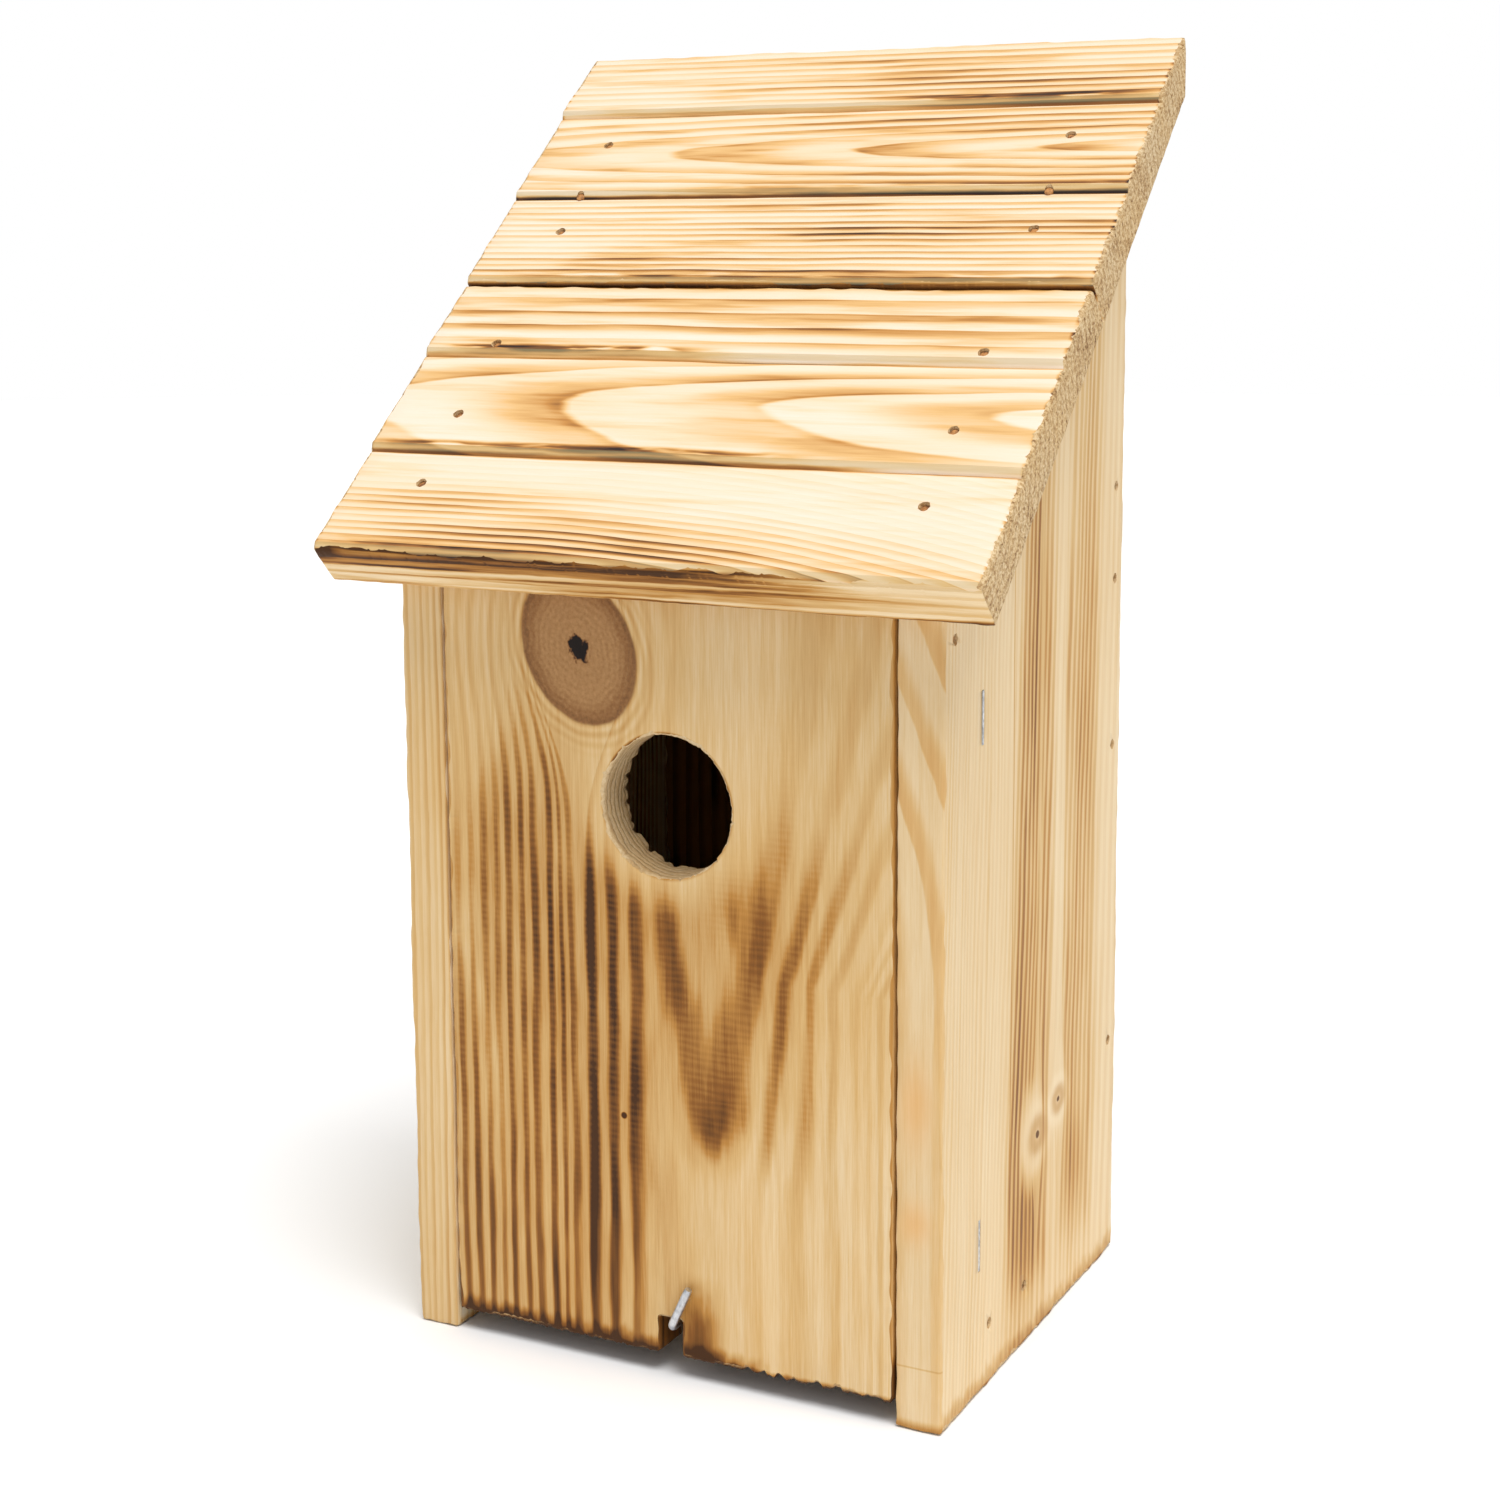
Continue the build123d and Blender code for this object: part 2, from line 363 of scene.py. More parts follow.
def cut(thing, cutter, number):
    """Takes the cutter's solids out of a piece; the new faces get that material number."""
    cutter.data.materials.clear()
    for material in thing.data.materials:
        cutter.data.materials.append(material)
    cutter.data.polygons.foreach_set("material_index", [number] * len(cutter.data.polygons))
    modifier = thing.modifiers.new("cut", "BOOLEAN")
    modifier.operation = "DIFFERENCE"
    modifier.solver = "EXACT"
    modifier.object = cutter
    graph = bpy.context.evaluated_depsgraph_get()
    result = bpy.data.meshes.new_from_object(thing.evaluated_get(graph))
    thing.modifiers.clear()
    old = thing.data
    thing.data = result
    bpy.data.meshes.remove(old)
    result.set_sharp_from_angle(angle=math.radians(SHARP))


# ---- nails ------------------------------------------------------------------
HEAD_RADIUS = 1.1
BRAD_RADIUS = 0.7
BRAD_SET = 0.8
HEAD_BORE = 1.7
BRAD_LENGTH = 30.0


def strip_top(distance):
    along = distance % BOARD_FACE
    ends = (*STRIPS[1:], BOARD_FACE)
    start, end = [pair for pair in zip(STRIPS, ends) if pair[0] <= along][-1]
    return ROOF_THICKNESS - STEP_DROP * (along - start) / (end - start)


def on_slope(x, s, h):
    """Row frame place of a point s up the slope and h over the roof's underside."""
    y = EAVES + s * math.cos(SLOPE) - h * math.sin(SLOPE)
    z = EAVES_Z + s * math.sin(SLOPE) + h * math.cos(SLOPE)
    return x, y, z


DOWN_ROOF = (0.0, math.sin(SLOPE), -math.cos(SLOPE))
SIDES = (-1, 1)
ROOF_NAILS = [
    (on_slope(side * 63.0, s, strip_top(s)), DOWN_ROOF)
    for side in SIDES
    for s in (21.5, 43.0, 66.0, 106.0, 119.0, 138.5)
]
BACK_NAILS = [
    ((side * HALF_WIDTH, BACK - 5.5, z), (-side, 0, 0))
    for side in SIDES
    for z in (57.0, 134.0, 176.0, 199.0)
]
FLOOR_NAILS = [
    ((side * HALF_WIDTH, FRONT + y, 14.5), (-side, 0, 0)) for side in SIDES for y in (28.0, 50.0)
]
PIVOT_NAILS = [
    ((side * HALF_WIDTH, FRONT + 5.5, PIVOT_HEIGHT), (-side, 0, 0)) for side in SIDES
]


def bores(name, nails, radius):
    """Solids to cut for nails: a torn pit round each head and a bore for its shank."""
    pit = (1.5, -1.0), (1.32, 0.1), (1.16, 0.5), (1.13, HEAD_BORE + 0.02)
    shank = (radius, HEAD_BORE + 0.03), (radius, BRAD_SET + BRAD_LENGTH + 0.05)
    profile = [*pit, *shank]
    parts = [lathe(profile, o, a, 40 + k, rough=0.05) for k, (o, a) in enumerate(nails)]
    thing = mesh_piece(name, *joined(parts))
    thing.hide_render = True
    return thing


def nail_piece(name, nails, steel):
    """Headed nails, slightly domed, with a turned-down rim."""
    head = (0.25, 0.70), (0.7, 0.74), (0.98, 0.84), (HEAD_RADIUS, 1.0)
    under = (HEAD_RADIUS, 1.5), (0.98, 1.66), (BRAD_RADIUS, 1.7)
    tip = (BRAD_RADIUS, 28.0), (0.12, 30.75)
    profile = [*head, *under, *tip]
    parts = [lathe(profile, o, a, 80 + k, 20) for k, (o, a) in enumerate(nails)]
    return mesh_piece(name, *joined(parts), [steel])


# ---- shader arithmetic ------------------------------------------------------
class Field:
    """A number over a surface: an output socket of the material being written."""

    tree = None

    def __init__(self, socket):
        self.socket = socket

    def __add__(self, other):
        return sums("ADD", self, other)

    def __sub__(self, other):
        return sums("SUBTRACT", self, other)

    def __mul__(self, other):
        return sums("MULTIPLY", self, other)

    def __truediv__(self, other):
        return sums("DIVIDE", self, other)

    def __rsub__(self, other):
        return sums("SUBTRACT", other, self)

    __radd__ = __add__
    __rmul__ = __mul__


def node(kind, *values, **settings):
    made = Field.tree.nodes.new("ShaderNode" + kind)
    for key, value in settings.items():
        setattr(made, key, value)
    for socket, value in zip(made.inputs, values):
        if isinstance(value, Field):
            Field.tree.links.new(value.socket, socket)
        elif value is not None:
            socket.default_value = value
    return made


def sums(operation, *values, clamp=False):
    return Field(node("Math", *values, operation=operation, use_clamp=clamp).outputs[0])


def root(x):
    return sums("SQRT", x)


def most(a, b):
    return sums("MAXIMUM", a, b)


def least(a, b):
    return sums("MINIMUM", a, b)


def sine(x):
    return sums("SINE", x)


def absolute(x):
    return sums("ABSOLUTE", x)


def fraction(x):
    return sums("FRACT", x)


def whole(x):
    return sums("FLOOR", x)


def clamped(x):
    return sums("ADD", x, 0.0, clamp=True)


def ramp(x, start, end):
    """0 at start, 1 at end, with eased ends. start may be the larger."""
    made = node("MapRange", x, start, end, 0.0, 1.0, interpolation_type="SMOOTHSTEP")
    return Field(made.outputs[0])


def close(x, centre, reach):
    """1 where x is at centre, down to 0 at reach from it."""
    return ramp(absolute(x - centre), reach, 0.0)


def blend(a, b, share):
    return a + (b - a) * share


def hump(x, centre, reach):
    """1 where x is at centre and 0.37 at reach from it: a bell curve."""
    away = (x - centre) / reach
    return sums("EXPONENT", away * away * -1.0)


def hypot(a, b):
    return root(a * a + b * b)


def chance(x, seed):
    """A random number from 0 to 1 for each whole number x."""
    return Field(node("TexWhiteNoise", None, x + seed * 7.31, noise_dimensions="1D").outputs[0])


def noise(place, lengths, seed=0.0, detail=2.0, rough=0.5):
    """Smooth noise about 0, from -0.5 to 0.5, with its own scale on each axis."""
    scale = tuple(1.0 / length for length in lengths)
    shift = (seed * 3.7, seed * 5.1, seed * 2.3)
    moved = Field(node("VectorMath", place, scale, shift, operation="MULTIPLY_ADD").outputs[0])
    made = node("TexNoise", moved, None, 1.0, detail, rough)
    return Field(made.outputs[0]) - 0.5


def curve(x, points, in_size, out_size):
    """x through a smooth curve of (in, out) points."""
    made = node("FloatCurve", 1.0, x / in_size)
    line = made.mapping.curves[0]
    for k, (a, b) in enumerate(points):
        a, b = a / in_size, b / out_size
        if k == 0:
            line.points[0].location = (a, b)
        elif k == len(points) - 1:
            line.points[len(line.points) - 1].location = (a, b)
        else:
            line.points.new(a, b)
    made.mapping.update()
    return Field(made.outputs[0]) * out_size


def linear(colour):
    """Scene-linear colour from 0-255 display values."""
    parts = [c / 255 for c in colour]
    parts = [c / 12.92 if c <= 0.04045 else ((c + 0.055) / 1.055) ** 2.4 for c in parts]
    return (*parts, 1.0)


def colours(x, stops):
    """A colour for each level x, from (level, colour) stops."""
    made = node("ValToRGB", x)
    band = made.color_ramp
    while len(band.elements) < len(stops):
        band.elements.new(0.5)
    for element, (level, colour) in zip(band.elements, stops):
        element.position = level
        element.color = linear(colour)
    return Field(made.outputs[0])


def mixed(a, b, share, blend_type="MIX"):
    made = node("Mix", data_type="RGBA", blend_type=blend_type)
    for socket, value in zip((made.inputs[0], made.inputs[6], made.inputs[7]), (share, a, b)):
        if isinstance(value, Field):
            Field.tree.links.new(value.socket, socket)
        else:
            socket.default_value = value
    return Field(made.outputs[2])


def new_material(name):
    """An empty node material, which the nodes that follow are written into."""
    material = bpy.data.materials.new(name)
    material.use_nodes = True
    material.node_tree.nodes.clear()
    Field.tree = material.node_tree
    return material


def surface(colour, rough, height, strength, depth):
    """The surface shader, with bump of a depth in millimetres."""
    links = Field.tree.links
    bump = node("Bump", strength, depth * MM)
    links.new(height.socket, bump.inputs["Height"])
    skin = node("BsdfPrincipled")
    links.new(colour.socket, skin.inputs["Base Color"])
    links.new(rough.socket, skin.inputs["Roughness"])
    links.new(bump.outputs[0], skin.inputs["Normal"])
    links.new(skin.outputs[0], node("OutputMaterial").inputs["Surface"])
    return skin


# Colours by how far the flame has charred the wood, from 0 to 1.
CHAR = [
    (0.0, (253, 246, 234)),
    (0.2, (243, 224, 190)),
    (0.4, (220, 185, 129)),
    (0.58, (192, 140, 72)),
    (0.76, (142, 92, 40)),
    (1.0, (74, 45, 20)),
]
ROOF_CHAR = [
    (0.0, (246, 233, 218)),
    (0.2, (242, 217, 182)),
    (0.4, (232, 188, 126)),
    (0.58, (200, 142, 76)),
    (0.76, (140, 92, 50)),
    (1.0, (50, 38, 34)),
]
KNOT = [(0.0, (194, 150, 100)), (0.45, (148, 104, 62)), (0.8, (88, 58, 36)), (1.0, (28, 20, 16))]
END_GRAIN = [
    (0.0, (226, 204, 166)),
    (0.35, (202, 172, 128)),
    (0.7, (166, 130, 88)),
    (1.0, (84, 58, 38)),
]


WOOD_SPECULAR = 0.18
YELLOWED = (255, 243, 218)


class Wood:
    """A wood material in the board's own lengths: u along the grain, v across, w deep."""

    def __init__(self, name, axes):
        self.material = new_material(name)
        split = node("SeparateXYZ", Field(node("TexCoord").outputs["Object"]))
        x, y, z = [Field(split.outputs[k]) / MM for k in range(3)]
        self.u, self.v, self.w = axes(x, y, z)
        self.place = Field(node("CombineXYZ", self.u, self.v, self.w).outputs[0])

    def wander(self, seed, broad=1.0, fine=0.25):
        """How far the grain strays from straight, in millimetres."""
        slow = self.noise((120, 16, 16), seed, 1.0) * (2 * broad)
        return slow + self.noise((24, 4, 4), seed + 1.3, 2.0) * (2 * fine)

    def noise(self, *how):
        return noise(self.place, *how)

    def fibres(self):
        fine = self.noise((9, 0.28, 0.28), 4.0, 3.0, 0.6)
        return fine + self.noise((40, 1.1, 1.1), 6.0, 2.0) * 0.8

    def finish(self, level, late, fibres, stops=CHAR, over=None, rough=0.62, depth=0.16, tint=0.6):
        """Colour from the char level, with the late wood and fibres as relief."""
        colour = colours(clamped(level), stops)
        hue = self.noise((70, 13, 13), 9.0, 2.0)
        colour = mixed(colour, linear(YELLOWED), ramp(hue, -0.3, 0.35) * tint, "MULTIPLY")
        if over:
            colour = mixed(colour, over[0], over[1])
        roughness = rough - late * 0.12 + fibres * 0.12
        skin = surface(colour, roughness, late * 0.5 + fibres * 0.45, 0.9, depth)
        skin.inputs["Specular IOR Level"].default_value = WOOD_SPECULAR
        return self.material


def growth(rings, seed, weak=0.5, start=0.3, full=0.8):
    """Late wood from 0 to 1 across each ring, some rings weaker than others."""
    f = fraction(rings)
    line = ramp(f, start, full) * ramp(f, 1.0, 0.93)
    return line * blend(weak, 1.0, chance(whole(rings), seed))


def door_axes(x, y, z):
    return z, x, y - FRONT


def right_axes(x, y, z):
    return z, y - FRONT, HALF_WIDTH - x


def left_axes(x, y, z):
    return z, y - FRONT, x + HALF_WIDTH


def back_axes(x, y, z):
    return z, x, BACK - y


def floor_axes(x, y, z):
    return x, y, FLOOR_TOP - z


def stop_axes(x, y, z):
    return z, y - FRONT, absolute(x)


def roof_axes(x, y, z):
    forward, up = y - EAVES, z - EAVES_Z
    s = forward * math.cos(SLOPE) + up * math.sin(SLOPE)
    h = up * math.cos(SLOPE) - forward * math.sin(SLOPE)
    return x, s, ROOF_THICKNESS - h


def pushed(distance, along, half, length):
    """Distance from a knot's axis to the fibres that the knot pushed aside."""
    bulge = hump(along, 0.0, length) * (half * half)
    kept = root(most(distance * distance - bulge, 0.0))
    return kept * sums("SIGN", distance)


# ---- the door's wood --------------------------------------------------------
PITH = 12.3  # where the door's arched figure is centred
KNOT_U, KNOT_V = 168.0, -20.7
KNOT_TILT = math.radians(62)
# The small hole below has no depth in the mesh: its dark is painted shade.
NAIL_HOLE = (60.7, -10.5)  # u and v of a small dark hole
# Ring numbers by distance from the pith, and the figure's dip below it by height.
DOOR_RINGS = [
    (0, 0), (13.2, 1), (20.3, 2), (26, 3), (31.2, 4), (36.3, 5), (39, 6), (42, 7),
    (46.4, 8), (49.5, 9), (53.3, 10), (56.4, 11), (59.7, 12), (63.4, 13), (80, 18),
]
DOOR_DIP = [
    (0, 16.5), (44, 16.5), (56, 14.2), (64, 12.8), (76, 11.4), (94, 7.5), (113, 3.2),
    (135, 0), (200, 0),
]


def door_wood():
    m = Wood("door_wood", door_axes)
    u, v, w = m.u, m.v, m.w
    over_knot, beside_knot = u - KNOT_U, v - KNOT_V
    v1 = pushed(beside_knot, over_knot, 13.0, 18.0) + KNOT_V
    aside = v1 - PITH
    opening = most(u - 97.0, 0.0) * 0.012 * ramp(aside, 0.0, 3.0) + 1.0
    aside = aside / opening
    fade = ramp(aside, -22.0, -9.0) * ramp(aside, 36.0, 16.0)
    dip = curve(u, DOOR_DIP, 200.0, 20.0) * fade
    r = hypot(aside, dip) + w * 0.35 + m.wander(1.0, 0.7, 0.35)
    rings = curve(r, DOOR_RINGS, 80.0, 18.0)
    uneven = m.noise((36, 5, 5), 12.0, 2.0)
    f = fraction(rings + 0.75 + uneven * 0.4)
    late = ramp(f, 0.24, 0.62) * ramp(f, 1.0, 0.74) * ramp(r, 7.0, 9.5)
    late *= blend(0.5, 1.0, chance(whole(rings + 0.75), 3))
    fibres = m.fibres()
    patchy = m.noise((30, 6, 6), 2.0, 2.0)

    top = ramp(v, -38.0, -56.0) * 24.0 + ramp(v, -27.0, -16.0) * 16.0
    left = ramp(v + ramp(u, 80.0, 55.0) * 6.0, 9.0, -4.0)
    left *= ramp(u + top + patchy * 40.0, 164.0, 128.0)
    arms = ramp(r, 17.5, 15.5) * ramp(u, 146.0, 106.0) * ramp(u, 44.0, 58.0)
    beyond = ramp(r, 34.0, 17.0) * ramp(u + patchy * 30.0, 140.0, 104.0) * ramp(u, 46.0, 72.0)
    heat = most(left, most(arms * 0.9, beyond * 0.7))
    core = hump(v, -18.0, 10.0) * ramp(u, 135.0, 110.0)
    rim_side = ramp(v, -42.0, -54.0) * ramp(u, 40.0, 110.0)
    heat *= patchy * 1.9 + 0.9 + core * 0.35 - rim_side * 0.45
    from_hole = hypot(v - HOLE_X, u - HOLE_Z)
    heat *= ramp(from_hole, 16.5, 27.0)
    apex = hump(v, 12.5, 9.0) * hump(u, 62.0, 9.0) * late * 0.45
    apex += hump(v, 18.0, 6.0) * hump(u, 112.0, 9.0) * 0.3
    chatter = sine(u * 3.7 + m.noise((3, 12, 9), 3.0) * 9.0)

    tone = m.noise((60, 18, 18), 5.0, 2.0) * 0.12 + 0.37
    level = tone + late * (heat * 0.36 + 0.08) + fibres * 0.19
    level += heat * (ramp(u, 20.0, 90.0) * 0.05 + 0.08)
    level -= ramp(v, 8.0, 26.0) * ramp(u, 100.0, 55.0) * 0.06
    scored = late * heat + apex + most(patchy, 0.0) * 0.3
    level += apex * (patchy + 0.42) + chatter * scored * ramp(u, 20.0, 80.0) * 0.045
    edge = m.noise((8, 3.5, 3.5), 7.0, 2.0)
    foot = ramp(u + edge * 5.0, 10.0, 5.5) * ramp(v + edge * 20.0, 30.0, 14.0) * 0.45
    foot += ramp(u + edge * 2.0, 6.8, 5.2) * 0.4
    foot += hump(v, 8.5, 4.5) * ramp(u + edge * 10.0, 27.0, 9.0) * 0.5
    rim = close(from_hole, HOLE_RADIUS + 0.3, 0.9) * (ramp(u, 126.0, 146.0) * 0.35 + 0.15)
    level += foot + rim

    p = beside_knot * math.cos(KNOT_TILT) - over_knot * math.sin(KNOT_TILT)
    q = beside_knot * math.sin(KNOT_TILT) + over_knot * math.cos(KNOT_TILT)
    warp = m.noise((7, 7, 7), 8.0, 3.0)
    e = root(p * p * (1 / 18.0**2) + q * q * (1 / 14.2**2)) + warp * 0.07
    shell = sine(e * 62.0 + warp * 14.0) * (warp * 1.6 + 0.5)
    knot = ramp(e, 1.02, 0.97)
    halo = ramp(e, 1.5, 1.02) * (sine(e * 46.0) * 0.05 + 0.05)
    level += halo
    star = ramp(e + m.noise((1.6, 1.6, 1.6), 2.5, 2.0) * 0.22, 0.2, 0.12)
    grit = m.noise((0.9, 0.9, 0.9), 2.2, 3.0, 0.7)
    dark = ramp(e, 0.6, 1.0) * 0.3 + shell * 0.07 + 0.22 + star + grit * 0.5
    pin = hypot(u - NAIL_HOLE[0], v - NAIL_HOLE[1])
    # The small hole, painted as a dark dot: painted shade of a recess that is not modelled.
    level += ramp(pin, 1.0, 0.4) * 0.7
    over = (colours(clamped(dark), KNOT), knot)
    return m.finish(level, late, fibres, over=over)


def bore_wood():
    """The sawn wall of the entrance and the door's end grain."""
    m = Wood("door_bore", door_axes)
    layers = fraction(m.w * 0.62 + m.noise((9, 9, 2), 1.0) * 1.6)
    line = ramp(layers, 0.2, 0.8) * ramp(layers, 1.0, 0.9)
    speckle = m.noise((0.9, 0.9, 0.35), 2.0, 3.0, 0.7)
    level = line * 0.25 + speckle * 0.9 + 0.18
    foot = ramp(m.u, 17.0, 12.0) * 0.35 + ramp(m.u, 6.4, 5.4) * 0.5
    return m.finish(level + foot, line, speckle, END_GRAIN, rough=0.8, depth=0.3)


# ---- the side boards' wood --------------------------------------------------
FIRST_KNOT, SECOND_KNOT = (49.0, 58.0), (53.0, 72.5)  # u and v
RIGHT_SPREAD = [(0, 0), (10, 6), (46, 24), (54, 27), (76, 34.5), (84, 36.5), (108, 44.5), (140, 50)]


def right_wood():
    m = Wood("right_side_wood", right_axes)
    u, v, w = m.u, m.v, m.w
    # The grain parts a little to the side of where the knots' rings are drawn.
    v1 = pushed(v - 57.5, u - 49.0, 3.4, 13.0) + 57.5
    second_knot = pushed(v1 - 73.0, u - 51.5, 2.8, 12.0)
    clear = ramp(absolute(v1 - 57.5), 0.1, 1.6) * ramp(absolute(second_knot), 0.1, 1.6)
    v1 = second_knot + 73.0
    across = v1 + (100.0 - u) * 0.04 + w * 0.5 + m.wander(2.0, 2.2, 0.6)
    rings = curve(across + 10.0, RIGHT_SPREAD, 140.0, 49.0)
    f = fraction(rings)
    late = ramp(f, 0.15, 0.55) * ramp(f, 1.0, 0.75) * clear
    late *= blend(0.55, 1.0, chance(whole(rings), 5))
    fibres = m.fibres()
    patchy = m.noise((46, 5, 5), 2.0, 2.0)
    drift = v1 + (100.0 - u) * 0.05
    first = ramp(drift, 37.0, 47.0) * ramp(v1, 69.0, 60.0)
    second = ramp(v1, 70.0, 76.0) * ramp(v1, 100.0, 92.0)
    high = ramp(u, 250.0, 150.0) * 0.45 + 0.55
    heat = (first + second * 0.62) * high * (patchy * 1.2 + 0.8)
    heat *= 1.0 - ramp(u, 44.0, 22.0) * 0.2 - ramp(u + patchy * 20.0, 24.0, 8.0) * 0.55
    below = hump(v, 50.0, 9.0) * hump(u, 28.0, 14.0)
    below += hump(v, 84.0, 8.0) * hump(u, 33.0, 13.0)
    tone = m.noise((80, 22, 22), 5.0, 2.0) * 0.12 + 0.27
    first_halo = hypot((u - 49.0) / 14.0, (v - 54.0) / 8.0)
    second_halo = hypot((u - 55.0) / 13.0, (v - 73.0) / 4.5)
    near_knots = ramp(least(first_halo, second_halo) + patchy * 0.8, 1.25, 0.6) * 0.9
    late *= 1.0 - near_knots * 0.95
    heat *= 1.0 - near_knots * 0.85
    level = tone + late * (heat * 0.32 + patchy * 0.12 + 0.07) + heat * 0.16 + below * 0.1
    level += close(v1 + m.wander(3.0, 0.6, 0.2), 40.0, 0.6) * ramp(u, 20.0, 60.0) * 0.18
    edge = m.noise((6, 3, 3), 7.0, 2.0)
    level += ramp(u + edge * 7.0, 6.0, 0.5) * 0.2 + ramp(u, 1.2, 0.2) * 0.35
    level += fibres * 0.09
    dark, rings_round = None, None
    for (at_u, at_v), reach, seed in ((FIRST_KNOT, 3.8, 1.0), (SECOND_KNOT, 2.8, 2.0)):
        far = hypot(u - at_u, (v - at_v) * 0.8) + m.noise((3, 3, 3), seed, 2.0)
        ring = hump(far, reach * 0.7, reach / 1.6)
        level += ring * 0.14 - ramp(far, reach * 2.9, reach * 1.5) * 0.06
        rings_round = ring if rings_round is None else most(rings_round, ring)
        pith = ramp(far, reach * 0.34, reach * 0.2)
        dark = pith if dark is None else most(dark, pith)
    over = (colours(fibres * 0.4 + dark * 0.7, KNOT), most(dark, rings_round * 0.5))
    return m.finish(level, late, fibres, over=over, tint=0.2)


def right_edge_wood():
    """The right board's edges, where wide rings are cut at a slant."""
    m = Wood("right_edge_wood", right_axes)
    u, w = m.u, m.w
    rise = sums("LOGARITHM", sums("EXPONENT", (u - 122.0) / 9.0) + 1.0, math.e)
    rings = w / 10.0 - rise * (9.0 / 24.0) + m.wander(5.0, 0.9, 0.6) * 0.12 + 0.72
    f = fraction(rings)
    band = ramp(f, 0.4, 0.82) * ramp(f, 1.0, 0.93)
    band = band * (m.noise((30, 5, 5), 3.0) * 1.2 + 0.75) * (ramp(u, 70.0, 125.0) * 0.5 + 0.5)
    fibres = m.fibres()
    blob = hump(u, 74.0, 10.0) * hump(w, 6.5, 4.0)
    blob = most(blob, hump(u, 47.5, 5.0) * hump(w, 6.5, 4.0))
    level = band * 0.16 + fibres * 0.15 + 0.31
    level += m.noise((40, 8, 8), 5.0, 2.0) * 0.1
    level += ramp(u, 3.0, 0.3) * 0.3 + close(u, 14.6, 0.35) * 0.12
    over = (linear((232, 178, 112)), most(blob * 0.65, band * 0.3))
    return m.finish(level, band, fibres, over=over, tint=0.25)


def left_wood():
    m = Wood("left_side_wood", left_axes)
    u, v, w = m.u, m.v, m.w
    v1 = pushed(v - 71.0, u - 122.0, 6.0, 17.0) + 71.0
    across = v1 + w * 1.9 + m.wander(7.0, 1.2, 0.3)
    rings = across / 2.3
    late = growth(rings, 8, 0.3, 0.3, 0.78)
    fibres = m.fibres()
    patchy = m.noise((60, 12, 12), 2.0, 2.0)
    heat = ramp(patchy, -0.04, 0.16) * ramp(v, 12.0, 30.0)
    tone = m.noise((80, 22, 22), 5.0, 2.0) * 0.12 + 0.16
    level = tone + late * (heat * 0.4 + 0.14) + heat * 0.07 + fibres * 0.1
    level += ramp(u, 3.0, 0.3) * 0.35
    far = hypot((u - 122.0) * 0.75, v - 71.0) + m.noise((4, 4, 4), 1.0, 2.0) * 1.6
    shell = sine(far * 5.2) * 0.08
    over = colours(ramp(far, 2.0, 6.0) * 0.3 + shell + ramp(far, 2.2, 1.2) + 0.2, KNOT)
    return m.finish(level, late, fibres, over=(over, ramp(far, 6.4, 5.8)))


def back_wood():
    m = Wood("back_panel_wood", back_axes)
    u, v, w = m.u, m.v, m.w
    v1 = pushed(v - 24.0, u - 96.0, 8.0, 20.0) + 24.0
    depth = most(u * -0.06 + 14.0, 0.0)
    aside = v1 + 14.0
    r = hypot(aside, depth) + w * 0.3 + m.wander(11.0, 0.9, 0.4)
    late = growth(r / 4.1, 6, 0.35, 0.3, 0.8)
    fibres = m.fibres()
    patchy = m.noise((50, 14, 14), 2.0, 2.0)
    heat = ramp(patchy, -0.06, 0.14)
    tone = m.noise((90, 20, 20), 5.0, 2.0) * 0.12 + 0.15
    level = tone + late * (heat * 0.42 + 0.16) + heat * 0.06 + fibres * 0.1
    # Darker along the bottom edge. The inner face above the floor is painted much darker: painted shade
    # for the unlit inside of the box, seen through the entrance.
    level += ramp(u, 3.5, 0.3) * 0.3 + ramp(w, 9.5, 10.7) * ramp(u, 20.0, 24.0) * 0.5
    far = hypot((u - 96.0) * 0.8, v - 24.0) + m.noise((5, 5, 5), 1.0, 2.0) * 2.0
    shell = sine(far * 4.4) * 0.08
    over = colours(ramp(far, 3.0, 8.0) * 0.32 + shell + ramp(far, 2.4, 1.2) + 0.18, KNOT)
    return m.finish(level, late, fibres, over=(over, ramp(far, 8.3, 7.6)))


def plain_wood(name, axes, pitch, seed, base=0.17, scorch=0.0):
    """Plain straight-grained wood, for hidden boards and for edges."""
    m = Wood(name, axes)
    rings = (m.v + m.w * 0.8 + m.wander(seed, 1.2, 0.4)) / pitch
    late = growth(rings, seed, 0.3, 0.3, 0.8)
    fibres = m.fibres()
    level = late * 0.17 + fibres * 0.11 + m.noise((60, 16, 16), seed, 2.0) * 0.14 + base
    level += ramp(m.u, 17.0, 12.0) * scorch
    return m.finish(level, late, fibres)


def end_wood(name, axes, pitch, seed, scorch=0.0):
    """Sawn end grain: ring arcs, open pores and torn specks."""
    m = Wood(name, axes)
    v, w = m.v - 22.0 * seed, m.w + 26.0
    r = hypot(v, w) + m.noise((9, 9, 9), seed, 2.0) * 1.6
    f = fraction(r / pitch)
    line = ramp(f, 0.35, 0.85) * ramp(f, 1.0, 0.9)
    specks = m.noise((1.5, 0.75, 0.75), seed + 1.0, 3.0, 0.8)
    coarse = m.noise((2.4, 1.3, 1.3), seed + 2.0, 2.0, 0.6)
    level = line * 0.16 + specks * 2.8 + coarse * 0.8 + 0.24
    level += ramp(m.noise((30, 9, 9), seed + 3.0), 0.0, 0.25) * (0.12 + scorch)
    return m.finish(level, line, specks, END_GRAIN, rough=0.82, depth=0.35)
